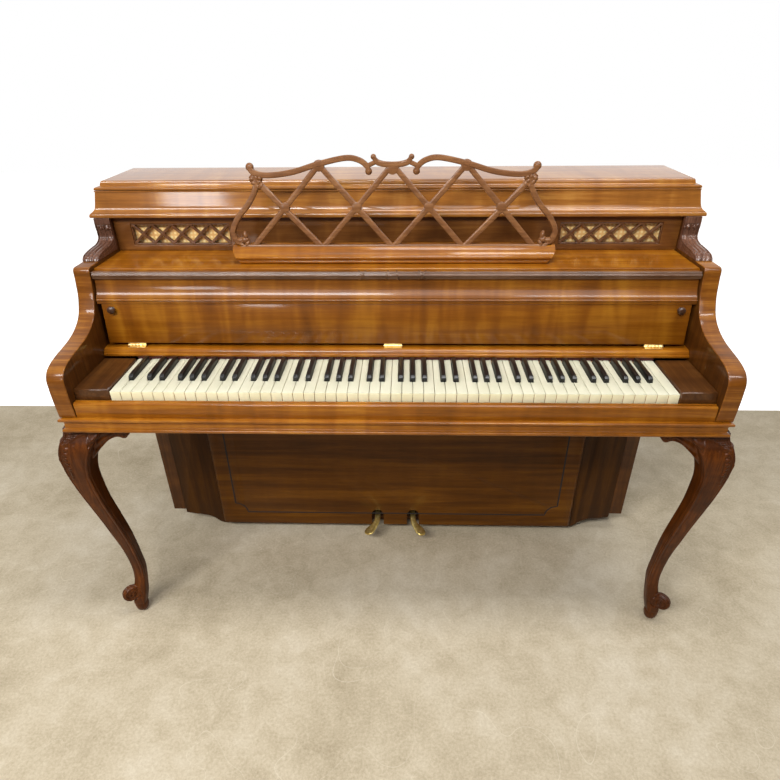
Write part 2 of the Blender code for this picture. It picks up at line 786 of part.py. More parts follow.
def key_frame():
    half = KEYBOARD_WIDTH / 2
    floor = BED_TOP + GAP
    crown = 0.003
    rail = [
        (BALANCE_DEPTH - 0.012, floor), (BALANCE_DEPTH - 0.012, 0.7000),
        (BALANCE_DEPTH - crown, 0.7076), (BALANCE_DEPTH + crown, 0.7076),
        (BALANCE_DEPTH + 0.012, 0.7000), (BALANCE_DEPTH + 0.012, floor),
    ]
    frame = outline_solid("key_frame", [rail], "side", -half + 0.003, half - 0.003, BEECH)
    rails = [
        block("front_rail", (-half + 0.0035, half - 0.0035), (0.006, 0.044), (floor, 0.692),
              None, cutting),
        block("back_rail", (-half + 0.0035, half - 0.0035), (0.332, 0.3575), (floor, 0.7050),
              None, cutting),
    ]
    boolean(frame, merge_all("outer_rails", rails), "UNION")
    slats = []
    for i in range(5):
        x = -half + 0.020 + i * (2 * half - 0.040) / 4
        slats.append(block("slat", (x - 0.012, x + 0.012), (0.020, 0.350),
                           (floor + 0.001, 0.683), None, cutting))
    boolean(frame, merge_all("frame_slats", slats), "UNION")
    for keys in keyboard():
        boolean(frame, keys, "UNION")


def rounded_square(x, y, z, half, power, count=12):
    """Ring between a circle (power 2) and a square (large power)."""
    ring = []
    for i in range(count):
        angle = math.radians(45 + 360 * i / count)
        cosine, sine = math.cos(angle), math.sin(angle)
        reach = half / (abs(cosine) ** power + abs(sine) ** power) ** (1 / power)
        ring.append((x + reach * cosine, behind(y + reach * sine), z))
    return ring


def legs():
    """Cabriole legs set diagonally: the knee swells out to the corner of the case."""
    diagonal = 0.735
    # Height, outer and inner outline in x of the left leg, and squareness
    stations = [
        (0.6397, -0.731, -0.663, 12.0), (0.622, -0.736, -0.665, 9.0), (0.603, -0.749, -0.679, 6.0),
        (0.576, -0.757, -0.692, 4.5), (0.545, -0.758, -0.702, 4.0), (0.510, -0.756, -0.7075, 3.6),
        (0.465, -0.750, -0.7070, 3.4), (0.416, -0.742, -0.7040, 3.2),
        (0.351, -0.731, -0.6965, 3.0), (0.299, -0.723, -0.6905, 3.0),
        (0.251, -0.7155, -0.6865, 3.0), (0.205, -0.7105, -0.6840, 3.0),
        (0.160, -0.7080, -0.6820, 3.0), (0.128, -0.7095, -0.6838, 3.0),
        (0.100, -0.7140, -0.6870, 3.0), (0.070, -0.7220, -0.6930, 3.0),
        (0.040, -0.7260, -0.6980, 3.0),
    ]
    rings = []
    for z, outer, inner, power in stations:
        middle = (outer + inner) / 2
        # Half the width across the corners, then half across the flats
        corner = (inner - outer) / 2 * math.sqrt(2)
        half = corner / (math.sqrt(2) * 2 ** (-1 / power))
        rings.append(rounded_square(middle, middle + diagonal, z, half, power))
    leg = loft("leg_left", rings, WALNUT)
    smooth(leg, 40)

    volute_x = -0.718
    volute = cylinder("leg_volute", (volute_x, behind(volute_x + diagonal), 0.083),
                      (1, -1, 0), 0.027, 0.030, None, cutting, 14)
    boolean(leg, volute, "UNION")
    shoe_x = -0.711
    shoe = [(0.0, 0.050), (0.015, 0.050), (0.018, 0.036), (0.020, 0.020), (0.019, 0.004),
            (0.016, 0.0), (0.0, 0.0)]
    boolean(leg, turned("leg_shoe", shoe, shoe_x, shoe_x + diagonal, None, cutting), "UNION")

    top = 0.6393
    inner_ear = [
        (-0.690, top), (-0.602, top), (-0.598, 0.622, 1), (-0.604, 0.610, 1), (-0.614, 0.608, 1),
        (-0.626, 0.613, 1), (-0.650, 0.606, 1), (-0.672, 0.588, 1), (-0.690, 0.560),
    ]
    boolean(leg, outline_solid("leg_inner_ear", [inner_ear], "front", 0.016, 0.046, None,
                               cutting, 3), "UNION")
    shift = diagonal
    rear_ear = [(x + shift, z) for x, z, *_ in inner_ear]
    rear_ear = [spot + ((1,) if len(mark) > 2 else ()) for spot, mark in zip(rear_ear, inner_ear)]
    boolean(leg, outline_solid("leg_rear_ear", [rear_ear], "side", -0.7195, -0.6885, None,
                               cutting, 3), "UNION")
    mirrored(leg, "leg_right")


def lower_panel():
    """Centre panel, proud of its neighbours, with rounded upright edges and pedal notches."""
    half = 0.565
    bottom, top = 0.035, BED_BOTTOM - GAP
    front, back = 0.344, 0.3657
    radius = 0.012
    outline = [(-half, back)]
    outline += arc((-half + radius, front + radius), radius, 180, 270, 4)
    outline += arc((half - radius, front + radius), radius, 270, 360, 4)
    outline += [(half, back)]
    panel = outline_solid("lower_panel", [outline], "plan", bottom, top, WALNUT)
    notches = []
    for side in (-1, 1):
        middle = side * PEDAL_OFFSET
        notch = [(middle - 0.019, bottom - 0.010)]
        notch += [(middle - x, z) for x, z in arc((0.0, 0.078), 0.019, 0, 180, 8)]
        notch += [(middle + 0.019, bottom - 0.010)]
        notches.append(outline_solid("pedal_notch", [notch], "front", front - 0.010, back + 0.010,
                                     None, cutting))
    boolean(panel, merge_all("pedal_notches", notches), "DIFFERENCE")
    # Cut line border with hollow corners
    side_x, low, high, corner = 0.514, 0.082, 0.600, 0.036
    path = []
    for sx, sz in ((-1, -1), (1, -1), (1, 1), (-1, 1)):
        z = low if sz < 0 else high
        centre = (sx * side_x, z)
        ends = {(-1, -1): (90, 0), (1, -1): (180, 90), (1, 1): (270, 180), (-1, 1): (360, 270)}
        start, end = ends[(sx, sz)]
        path += arc(centre, corner, start, end, 3)
    line = bpy.data.curves.new("border_line", "CURVE")
    line.dimensions = "3D"
    line.bevel_depth = 0.0016
    line.bevel_resolution = 0
    line.use_fill_caps = False
    spline = line.splines.new("POLY")
    spline.points.add(len(path) - 1)
    for point, (x, z) in zip(spline.points, path):
        point.co = (x, behind(front), z, 1.0)
    spline.use_cyclic_u = True
    curve = bpy.data.objects.new("border_line_path", line)
    bpy.context.scene.collection.objects.link(curve)
    bpy.context.view_layer.update()
    evaluated = curve.evaluated_get(bpy.context.evaluated_depsgraph_get())
    bm = bmesh.new()
    bm.from_mesh(bpy.data.meshes.new_from_object(evaluated))
    bpy.data.objects.remove(curve, do_unlink=True)
    groove = add_object("border_groove", mesh_from(bm, "border_groove"), None, cutting)
    boolean(panel, groove, "DIFFERENCE")


def lower_sides():
    outer, inner = -INNER_HALF + GAP, -0.5653
    outline = [
        (outer, 0.058), (-0.667, 0.052, 1), (-0.625, 0.046, 1), (-0.600, 0.034, 1),
        (-0.582, 0.018, 1), (inner, 0.014), (inner, BED_BOTTOM - GAP), (outer, BED_BOTTOM - GAP),
    ]
    left = outline_solid("lower_side_left", [outline], "front", LOWER_FRONT, 0.386, WALNUT)
    mirrored(left, "lower_side_right")


def bottom_board():
    """Board across the foot of the case, with a pair of saddles under each pedal's pin."""
    half = INNER_HALF - GAP
    board = block("bottom_board", (-half, half), (0.3868, 0.470), (0.036, 0.054), BEECH)
    tongue = block("board_tongue", (-0.560, 0.560), (0.3663, 0.3900), (0.0364, 0.0536),
                   None, cutting)
    boolean(board, tongue, "UNION")
    saddles = []
    for side in (-1, 1):
        for offset in (-0.0140, 0.0140):
            x = side * PEDAL_OFFSET + offset
            saddles.append(block("saddle", (x - 0.004, x + 0.004), (0.370, 0.386),
                                 (0.0500, PEDAL_HEIGHT - 0.0033), None, cutting))
    boolean(board, merge_all("pedal_saddles", saddles), "UNION")


def pedals():
    """Brass pedals whose tips turn outward, each rocking on a cross pin."""
    pin_z = PEDAL_HEIGHT
    # Depth, sideways swing, height, half width, half thickness
    stations = [
        (0.424, 0.000, 0.000, 0.006, 0.0035), (0.400, 0.000, 0.000, 0.007, 0.0045),
        (0.360, 0.000, 0.000, 0.0073, 0.0050), (0.340, 0.001, -0.001, 0.0075, 0.0048),
        (0.322, 0.004, -0.005, 0.0080, 0.0046), (0.308, 0.010, -0.010, 0.0095, 0.0044),
        (0.298, 0.017, -0.014, 0.0125, 0.0042), (0.288, 0.024, -0.017, 0.0150, 0.0040),
        (0.278, 0.029, -0.019, 0.0130, 0.0036), (0.272, 0.032, -0.020, 0.0070, 0.0026),
    ]
    for name, side in (("pedal_left", -1), ("pedal_right", 1)):
        rings = []
        for depth, swing, drop, half_width, half_thick in stations:
            ring = []
            for i in range(8):
                angle = 2 * math.pi * (i + 0.5) / 8
                ring.append((
                    side * (PEDAL_OFFSET + swing) + half_width * math.cos(angle),
                    behind(depth),
                    pin_z + drop + half_thick * math.sin(angle),
                ))
            rings.append(ring)
        pedal = loft(name, rings, BRASS)
        smooth(pedal, 50)
        pin = cylinder(name + "_pin", (side * PEDAL_OFFSET, behind(PEDAL_PIVOT_DEPTH), pin_z),
                       (1, 0, 0), 0.003, 0.034, None, cutting, 10)
        boolean(pedal, pin, "UNION")


def pedal_dowels():
    for name, side in (("pedal_dowel_left", -1), ("pedal_dowel_right", 1)):
        top = 0.735
        middle = (side * PEDAL_OFFSET, behind(DOWEL_DEPTH), (DOWEL_BOTTOM + top) / 2)
        cylinder(name, middle, (0, 0, 1), 0.006, top - DOWEL_BOTTOM, BEECH, model, 10)


def back_frame():
    half = INNER_HALF - GAP
    bottom, top = 0.060, 1.0785
    posts = ((-half, -0.640), (-0.380, -0.320), (-0.030, 0.030), (0.320, 0.380), (0.640, half))
    loops = [[(-half, bottom), (half, bottom), (half, top), (-half, top)]]
    for (_, left), (right, _) in zip(posts, posts[1:]):
        loops.append([(left, 0.140), (right, 0.140), (right, 0.975), (left, 0.975)])
    outline_solid("back_frame", loops, "front", 0.4925, CASE_BACK, BEECH)


def soundboard():
    half, bottom, top = 0.688, 0.110, 0.990
    board = block("soundboard", (-half, half), (0.468, 0.476), (bottom, top), SPRUCE)
    ribs = []
    tilt = math.radians(38)
    count = 9
    for i in range(count):
        spread = (i - (count - 1) / 2) * 0.115
        centre = Vector((spread * math.sin(tilt), 0.0, 0.55 + spread * math.cos(tilt)))
        along = Vector((math.cos(tilt), 0.0, -math.sin(tilt)))
        ends = []
        for sign in (-1, 1):
            limits = []
            if along.x * sign != 0:
                limits.append(((half - 0.03) - sign * centre.x) / abs(along.x))
            edge = top - 0.03 if along.z * sign > 0 else bottom + 0.03
            limits.append(abs((edge - centre.z) / along.z))
            ends.append(centre + along * sign * min(limits))
        start, end = ends
        across = Vector((math.sin(tilt), 0.0, math.cos(tilt))) * 0.0125
        rings = []
        for depth, spot in ((0.4755, start), (0.4755, end)):
            ring = []
            for off, deep in ((-1, 0.0), (1, 0.0), (1, 0.0145), (-1, 0.0145)):
                corner = spot + across * off
                ring.append((corner.x, behind(depth + deep), corner.z))
            rings.append(ring)
        ribs.append(loft("rib", rings, None, cutting))
    boolean(board, merge_all("soundboard_ribs", ribs), "UNION")


def iron_plate():
    half, bottom, top = 0.655, 0.125, 1.045
    loops = [[(-half, bottom), (half, bottom), (half, top), (-half, top)]]
    # Left, right, lower left, lower right and top of each window between the struts
    windows = (
        (-0.604, -0.261, 0.185, 0.192, 0.932), (-0.239, 0.009, 0.196, 0.210, 0.928),
        (0.031, 0.289, 0.225, 0.290, 0.934), (0.311, 0.604, 0.315, 0.460, 0.925),
    )
    for left, right, low_left, low_right, high in windows:
        loops.append([(left, low_left), (right, low_right), (right, high), (left, high)])
    plate = outline_solid("iron_plate", loops, "front", 0.4465, 0.4585, BRONZE_IRON)
    pads = []
    for x in (-0.60, -0.25, 0.02, 0.30, 0.60):
        for z in (0.155, 0.960):
            pads.append(cylinder("plate_foot", (x, behind(0.4627), z), (0, 1, 0), 0.012, 0.0100,
                                 None, cutting, 8))
    boolean(plate, merge_all("plate_feet", pads), "UNION")


def action():
    """Hammer rail on two iron brackets, with its row of hammers."""
    half = KEYBOARD_WIDTH / 2
    rail = block("hammer_action", (-half, half), (0.378, 0.398), (0.800, 0.840), BEECH)
    brackets = []
    for x in (-half + 0.012, 0.0, half - 0.012):
        brackets.append(block("action_post", (x - 0.008, x + 0.008), (0.3735, 0.3900),
                              (0.6400, 0.8200), None, cutting))
    boolean(rail, merge_all("action_posts", brackets), "UNION")
    hammers = []
    count = 88
    pitch = (2 * half - 0.040) / (count - 1)
    for i in range(count):
        x = -half + 0.020 + i * pitch
        outline = [
            (0.386, 0.835), (0.3935, 0.835), (0.4000, 0.896), (0.4260, 0.906), (0.3920, 0.915),
        ]
        hammers.append(outline_solid("hammer", [outline], "side", x - 0.0045, x + 0.0045, None,
                                     cutting))
    boolean(rail, merge_all("hammers", hammers), "UNION")


def rear_glides():
    for name, side in (("rear_glide_left", -1), ("rear_glide_right", 1)):
        centre = (side * (CASE_HALF + INNER_HALF) / 2, behind(0.528), 0.00485)
        cylinder(name, centre, (0, 0, 1), 0.015, 0.0097, STEEL, model, 12)


def hang_on(name, point, pieces):
    """Empty on a joint's axis that carries the pieces moving about it, and their cutters."""
    pivot = bpy.data.objects.new(name, None)
    pivot.empty_display_size = 0.03
    pivot.location = point
    model.objects.link(pivot)
    bpy.context.view_layer.update()
    for piece in pieces:
        tools = [modifier.object for modifier in piece.modifiers if modifier.type == "BOOLEAN"]
        for carried in [piece] + tools:
            carried.parent = pivot
            carried.matrix_parent_inverse = pivot.matrix_world.inverted()


def pivots():
    named = model.objects
    hang_on("lid_axis", (0.0, behind(LID_PIVOT_DEPTH), LID_PIVOT_HEIGHT), [named["lid"]])
    swinging = [piece for piece in named if piece.name.startswith(("fallboard", "stop_button"))]
    hang_on("fallboard_axis", (0.0, behind(HINGE_DEPTH), HINGE_HEIGHT), swinging)
    for side, sign in (("left", -1), ("right", 1)):
        x = sign * PEDAL_OFFSET
        hang_on("pedal_axis_" + side, (x, behind(PEDAL_PIVOT_DEPTH), PEDAL_HEIGHT),
                [named["pedal_" + side]])
        hang_on("pedal_dowel_axis_" + side, (x, behind(DOWEL_DEPTH), DOWEL_BOTTOM),
                [named["pedal_dowel_" + side]])
    for i, letter in enumerate(LIVE_LETTERS):
        white = FIRST_LIVE_WHITE + i
        centre = -KEYBOARD_WIDTH / 2 + (white + 0.5) * KEY_PITCH
        hang_on("key_axis_" + letter, (centre, behind(BALANCE_DEPTH), KEY_BOTTOM),
                [named["key_" + letter]])
        if sharp_after(white) is not None:
            hang_on("key_axis_" + letter + "_sharp",
                    (sharp_centre(white), behind(BALANCE_DEPTH), KEY_BOTTOM),
                    [named["key_" + letter + "_sharp"]])


case_sides()
arms()
scroll_brackets()
top_moulding()
lid()
lid_hinge()
upper_panel()
grilles()
shelf()
music_rack()
rack_ledge()
fallboard()
stop_buttons()
fallboard_hinges()
nameboard()
keybed()
keybed_moulding()
keyslip()
key_blocks()
key_frame()
legs()
lower_panel()
lower_sides()
bottom_board()
pedals()
pedal_dowels()
back_frame()
soundboard()
iron_plate()
action()
rear_glides()
pivots()
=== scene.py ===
import math

import bpy
from mathutils import Matrix, Vector


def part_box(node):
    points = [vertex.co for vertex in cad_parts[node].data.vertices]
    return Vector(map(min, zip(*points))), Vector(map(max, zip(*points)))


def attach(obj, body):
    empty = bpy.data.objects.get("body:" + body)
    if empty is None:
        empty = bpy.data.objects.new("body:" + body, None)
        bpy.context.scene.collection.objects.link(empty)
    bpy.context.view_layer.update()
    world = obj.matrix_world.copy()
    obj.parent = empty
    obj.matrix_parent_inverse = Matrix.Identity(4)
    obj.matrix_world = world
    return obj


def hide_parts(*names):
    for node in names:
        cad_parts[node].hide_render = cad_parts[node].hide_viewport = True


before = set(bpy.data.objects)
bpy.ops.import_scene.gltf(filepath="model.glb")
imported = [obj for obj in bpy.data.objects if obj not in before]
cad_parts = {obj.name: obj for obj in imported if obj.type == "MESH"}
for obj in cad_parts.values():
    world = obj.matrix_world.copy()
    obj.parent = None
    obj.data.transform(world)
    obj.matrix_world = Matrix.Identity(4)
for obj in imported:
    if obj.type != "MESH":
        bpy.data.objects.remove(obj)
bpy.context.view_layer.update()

scene = bpy.context.scene
scene.view_settings.view_transform = "Standard"
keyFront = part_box("key_c")[0].y  # depths are measured back from the front edge of the white keys


def toLinear(hexColour):
    channels = []
    for start in (1, 3, 5):
        value = int(hexColour[start:start + 2], 16) / 255
        channels.append(value / 12.92 if value <= 0.04045 else ((value + 0.055) / 1.055) ** 2.4)
    return (*channels, 1.0)


def addNode(tree, kind, values=None, links=None, stops=(), **settings):
    node = tree.nodes.new(kind)
    for name, value in settings.items():
        setattr(node, name, value)
    for socket, value in (values or {}).items():
        node.inputs[socket].default_value = value
    for socket, source in (links or {}).items():
        tree.links.new(source, node.inputs[socket])
    for index, (place, colour) in enumerate(stops):  # the colours of a ramp, in rising order
        if index == len(node.color_ramp.elements):
            node.color_ramp.elements.new(1)
        node.color_ramp.elements[index].position = place
        node.color_ramp.elements[index].color = toLinear(colour)
    return node


def startMaterial(name, roughness, metallic=0.0):
    made = bpy.data.materials.new(name)
    made.use_nodes = True
    shader = made.node_tree.nodes["Principled BSDF"]
    shader.inputs["Roughness"].default_value = roughness
    shader.inputs["Metallic"].default_value = metallic
    return made, made.node_tree, shader


def deselectAll():
    if bpy.context.object and bpy.context.object.mode != "OBJECT":
        bpy.ops.object.mode_set(mode="OBJECT")
    bpy.ops.object.select_all(action="DESELECT")


def activate(piece):
    deselectAll()
    piece.select_set(True)
    bpy.context.view_layer.objects.active = piece


def editAll(piece):
    activate(piece)
    bpy.ops.object.mode_set(mode="EDIT")
    bpy.ops.mesh.select_all(action="SELECT")


def selectFaces(piece, test):
    bpy.ops.object.mode_set(mode="OBJECT")
    for vert in piece.data.vertices:
        vert.select = False
    for edge in piece.data.edges:
        edge.select = False
    for face in piece.data.polygons:
        face.select = test(face)
    bpy.ops.object.mode_set(mode="EDIT")
    bpy.ops.mesh.select_mode(type="FACE")


def applyModifier(piece, kind, **settings):
    activate(piece)
    modifier = piece.modifiers.new("shaping", kind)
    for name, value in settings.items():
        setattr(modifier, name, value)
    bpy.ops.object.modifier_apply(modifier=modifier.name)


def roundEdges(piece, width, segments=2, sharper=30, smooth=35):
    # Rounds the edges that are sharper than an angle and shades the curved faces smooth
    if width:
        applyModifier(piece, "BEVEL", width=width, segments=segments, limit_method="ANGLE",
                      angle_limit=math.radians(sharper))
    activate(piece)
    bpy.ops.object.shade_smooth_by_angle(angle=math.radians(smooth))


def setMaterial(piece, *finishes):
    piece.data.materials.clear()
    for finish in finishes:
        piece.data.materials.append(finish)


def copyPiece(source, name, move=(0, 0, 0), mirror=False):
    # A copy with its own mesh, moved, or mirrored to the treble side
    piece = bpy.data.objects.new(name, source.data.copy())
    scene.collection.objects.link(piece)
    if mirror:
        piece.data.transform(Matrix.Scale(-1, 4, (1, 0, 0)))
        editAll(piece)
        bpy.ops.mesh.flip_normals()
        bpy.ops.object.mode_set(mode="OBJECT")
    piece.data.transform(Matrix.Translation(move))
    return piece


def joinPieces(name, pieces):
    deselectAll()
    for piece in pieces:
        piece.select_set(True)
    bpy.context.view_layer.objects.active = pieces[0]
    if len(pieces) > 1:
        bpy.ops.object.join()
    bpy.context.object.name = name
    return bpy.context.object


def seat(piece, body, slot, *nodes):
    # The piece rides on its body and stands for the CAD nodes; the slot is not used
    if nodes:
        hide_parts(*nodes)
    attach(piece, body)
    return piece


def addBox(name, low, high):
    deselectAll()
    bpy.ops.mesh.primitive_cube_add(size=1, location=[(a + b) / 2 for a, b in zip(low, high)])
    piece = bpy.context.object
    piece.name = name
    piece.scale = [b - a for a, b in zip(low, high)]
    bpy.ops.object.transform_apply(location=True, rotation=True, scale=True)
    return piece


def addRod(name, start, end, radius, sides=16):
    # Round bar between two points
    deselectAll()
    start, end = Vector(start), Vector(end)
    bpy.ops.mesh.primitive_cylinder_add(vertices=sides, radius=radius, depth=(end - start).length)
    piece = bpy.context.object
    piece.name = name
    turn = Vector((0, 0, 1)).rotation_difference(end - start).to_matrix().to_4x4()
    piece.data.transform(Matrix.Translation((start + end) / 2) @ turn)
    return piece


def addBall(name, centre, radii, turn=None, segments=20, rings=12):
    deselectAll()
    bpy.ops.mesh.primitive_uv_sphere_add(segments=segments, ring_count=rings, radius=1)
    piece = bpy.context.object
    piece.name = name
    piece.data.transform(Matrix.Translation(centre) @ (turn or Matrix.Identity(4))
                         @ Matrix.Diagonal((*radii, 1)))
    bpy.ops.object.shade_smooth()
    return piece


def wrapGrid(name, across, along, place):
    # A primitive grid wrapped round a computed form: place(u, v) with u round it and v along it
    deselectAll()
    bpy.ops.mesh.primitive_grid_add(x_subdivisions=across, y_subdivisions=along, size=1)
    piece = bpy.context.object
    piece.name = name
    for vert in piece.data.vertices:
        vert.co = place(vert.co.x + 0.5, vert.co.y + 0.5)
    editAll(piece)
    bpy.ops.mesh.remove_doubles(threshold=0.00002)
    bpy.ops.mesh.fill_holes(sides=0)
    bpy.ops.mesh.normals_make_consistent(inside=False)
    bpy.ops.object.mode_set(mode="OBJECT")
    roundEdges(piece, 0, smooth=40)
    return piece


def alongPath(points, share):
    # The smooth curve through control points of any number of values; share runs from 0 to 1
    spot = min(max(share, 0), 1) * (len(points) - 1)
    index = min(int(spot), len(points) - 2)
    t = spot - index
    near = [points[min(max(index + step, 0), len(points) - 1)] for step in (-1, 0, 1, 2)]
    return [0.5 * (2 * b + (c - a) * t + (2 * a - 5 * b + 4 * c - d) * t ** 2
                   + (3 * b - a - 3 * c + d) * t ** 3) for a, b, c, d in zip(*near)]


def squareRound(angle, power):
    # Unit section between a circle (power 2) and a square (large power)
    across, up = math.cos(angle), math.sin(angle)
    reach = (abs(across) ** power + abs(up) ** power) ** (-1 / power)
    return across * reach, up * reach


def sweep(name, points, facing, around=16, along=40, power=5, groove=0.0):
    # Bar through points (x, y, z, width, thickness); facing is the way its thickness points
    facing = Vector(facing)

    def place(u, v):
        x, y, z, width, thickness = alongPath(points, v)
        ahead, back = Vector(alongPath(points, v + 0.004)[:3]), Vector(alongPath(points, v - 0.004)[:3])
        side = (ahead - back).cross(facing).normalized()
        through = side.cross(ahead - back).normalized()
        across, up = squareRound(2 * math.pi * u, power)
        cut = groove * math.exp(-(across / 0.35) ** 2)
        return (Vector((x, y, z)) + side * (across * width / 2)
                + through * (up * thickness / 2 - cut * math.copysign(1, up) * (abs(up) > 0.5)))

    return wrapGrid(name, around, along, place)


def addSlab(name, steps, half, front, back):
    # Board with moulded front and ends and a straight back; steps are (how far it stands out, z)
    def place(u, v):
        out, z = steps[round(v * (len(steps) - 1))]
        corner = round(u * 4) % 4
        x = (half + out) * (-1, 1, 1, -1)[corner]
        return x, keyFront + (front - out if corner < 2 else back), z

    return wrapGrid(name, 4, len(steps) - 1, place)


def addMitred(name, profile, half, front, back):
    # Moulding along the front and both ends; profile is a closed loop of (how far out, z)
    def place(u, v):
        out, z = profile[round(u * len(profile)) % len(profile)]
        station = round(v * 3)
        x = (half + out) * (-1, -1, 1, 1)[station]
        return x, keyFront + (front - out if station in (1, 2) else back), z

    return wrapGrid(name, len(profile), 3, place)


planes = {  # turns a flat outline's own axes into the plane that it stands in
    "side": Matrix(((0, 0, 1, 0), (1, 0, 0, 0), (0, 1, 0, 0), (0, 0, 0, 1))),
    "front": Matrix(((1, 0, 0, 0), (0, 0, -1, 0), (0, 1, 0, 0), (0, 0, 0, 1))),
}


def addOutline(name, loops, plane, low, high, steps=8):
    # Outlines of (depth, z) in the side plane, or (x, z) in the front plane, filled and given
    # their thickness. A third entry marks a point that the outline runs through smoothly.
    deselectAll()
    bpy.ops.curve.primitive_bezier_circle_add()
    curve = bpy.context.object
    curve.name = name
    flat = curve.data
    flat.splines.clear()
    flat.dimensions = "2D"
    flat.fill_mode = "BOTH"
    flat.extrude = (high - low) / 2
    flat.resolution_u = steps
    for loop in loops:
        spline = flat.splines.new("BEZIER")
        spline.bezier_points.add(len(loop) - 1)
        for point, spot in zip(spline.bezier_points, loop):
            point.co = (spot[0], spot[1], 0)
            point.handle_left_type = point.handle_right_type = "AUTO" if len(spot) > 2 else "VECTOR"
        spline.use_cyclic_u = True
    bpy.ops.object.convert(target="MESH")
    piece = bpy.context.object
    middle = (low + high) / 2
    shift = (middle, keyFront, 0) if plane == "side" else (0, keyFront + middle, 0)
    piece.data.transform(Matrix.Translation(shift) @ planes[plane])
    editAll(piece)
    bpy.ops.mesh.remove_doubles(threshold=0.00001)
    if len(loops) == 1:
        bpy.ops.mesh.dissolve_limited(angle_limit=math.radians(0.1))
    bpy.ops.mesh.normals_make_consistent(inside=False)
    bpy.ops.object.mode_set(mode="OBJECT")
    return piece


def carve(piece, grain, soften, depthAt):
    # Merges overlapping forms into one skin, softens where they meet, then raises and cuts it
    applyModifier(piece, "REMESH", mode="VOXEL", voxel_size=grain)
    applyModifier(piece, "SMOOTH", factor=0.5, iterations=soften)
    normals = [vert.normal.copy() for vert in piece.data.vertices]
    for vert, normal in zip(piece.data.vertices, normals):
        vert.co += normal * depthAt(vert.co, normal)
    bpy.ops.object.shade_smooth()


def distanceTo(line, a, b):
    # Distance of a point from a bent line, both in one plane
    nearest = 9
    for (startA, startB), (endA, endB) in zip(line, line[1:]):
        runA, runB = endA - startA, endB - startB
        share = ((a - startA) * runA + (b - startB) * runB) / (runA ** 2 + runB ** 2)
        share = min(max(share, 0), 1)
        nearest = min(nearest, math.hypot(a - startA - share * runA, b - startB - share * runB))
    return nearest


def refineNode(node, name, finish, slot, body="case", rounding=0.001, sharper=50, smooth=40):
    # Copy of a CAD solid: loose triangles merged, sharp edges rounded, curved faces smoothed
    piece = bpy.data.objects.new(name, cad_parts[node].data.copy())
    scene.collection.objects.link(piece)
    editAll(piece)
    bpy.ops.mesh.customdata_custom_splitnormals_clear()
    bpy.ops.mesh.remove_doubles(threshold=0.00001)
    bpy.ops.mesh.dissolve_limited(angle_limit=math.radians(0.3))
    bpy.ops.object.mode_set(mode="OBJECT")
    roundEdges(piece, rounding, 2, sharper, smooth)
    setMaterial(piece, finish)
    return seat(piece, body, slot, node)


view = {
    "place": (0.03266, -1.32554, 1.35453), "pitch": 30.024, "yaw": -1.855, "roll": -0.617,
    "lens": 26.50,  # on a 36 mm sensor, square picture
    "wallLine": 0.856,  # where the white wall starts, behind the piano
}
pitch, yaw, roll = (math.radians(view[key]) for key in ("pitch", "yaw", "roll"))
forward = Vector((math.sin(yaw) * math.cos(pitch), math.cos(yaw) * math.cos(pitch),
                  -math.sin(pitch)))
level = Vector((math.cos(yaw), -math.sin(yaw), 0))
upright = level.cross(forward)
rightward = math.cos(roll) * level + math.sin(roll) * upright
upward = math.cos(roll) * upright - math.sin(roll) * level
cameraData = bpy.data.cameras.new("camera")
cameraData.lens = view["lens"]
cameraData.sensor_width = 36
cameraData.sensor_fit = "HORIZONTAL"
cameraData.clip_end = 50
camera = bpy.data.objects.new("camera", cameraData)
scene.collection.objects.link(camera)
camera.matrix_world = Matrix.Translation(view["place"]) @ Matrix((
    (rightward.x, upward.x, -forward.x, 0), (rightward.y, upward.y, -forward.y, 0),
    (rightward.z, upward.z, -forward.z, 0), (0, 0, 0, 1)))
scene.camera = camera

# The last three light nothing: they are the bright shapes that the lacquer mirrors
lamps = {
    "leftLamp": {"place": (-1.3, -2.5, 3.0), "aim": (-1.3, 0, 0.7), "size": (2.4, 0.6), "power": 115},
    "topLamp": {"place": (0.6, -0.5, 3.2), "aim": (0.6, -0.3, 0.8), "size": (1.8, 0.6), "power": 46},
    "rightShine": {"place": (1.7, -1.7, 3.0), "aim": (1.7, 0, 0.8), "size": (1.8, 0.30), "power": 34},
    "leftShine": {"place": (-1.62, -3.1, 1.62), "aim": (-0.5, 0, 1.1), "size": (0.45, 0.6), "power": 15},
    "frontShine": {"place": (0.2, -2.9, 2.9), "aim": (0.2, 0, 1.0), "size": (3.4, 1.8), "power": 70},
}
for name, facts in lamps.items():
    lampData = bpy.data.lights.new(name, "AREA")
    lampData.shape = "RECTANGLE"
    lampData.size, lampData.size_y = facts["size"]
    lampData.energy = facts["power"]
    lamp = bpy.data.objects.new(name, lampData)
    scene.collection.objects.link(lamp)
    lamp.visible_diffuse = name.endswith("Lamp")
    lamp.location = facts["place"]
    aim = Vector(facts["aim"]) - Vector(facts["place"])
    lamp.rotation_euler = aim.to_track_quat("-Z", "Y").to_euler()

world = bpy.data.worlds.new("studio")
scene.world = world
world.use_nodes = True
tree = world.node_tree
background = tree.nodes["Background"]
background.inputs["Color"].default_value = toLinear("#ffffff")
path = addNode(tree, "ShaderNodeLightPath")
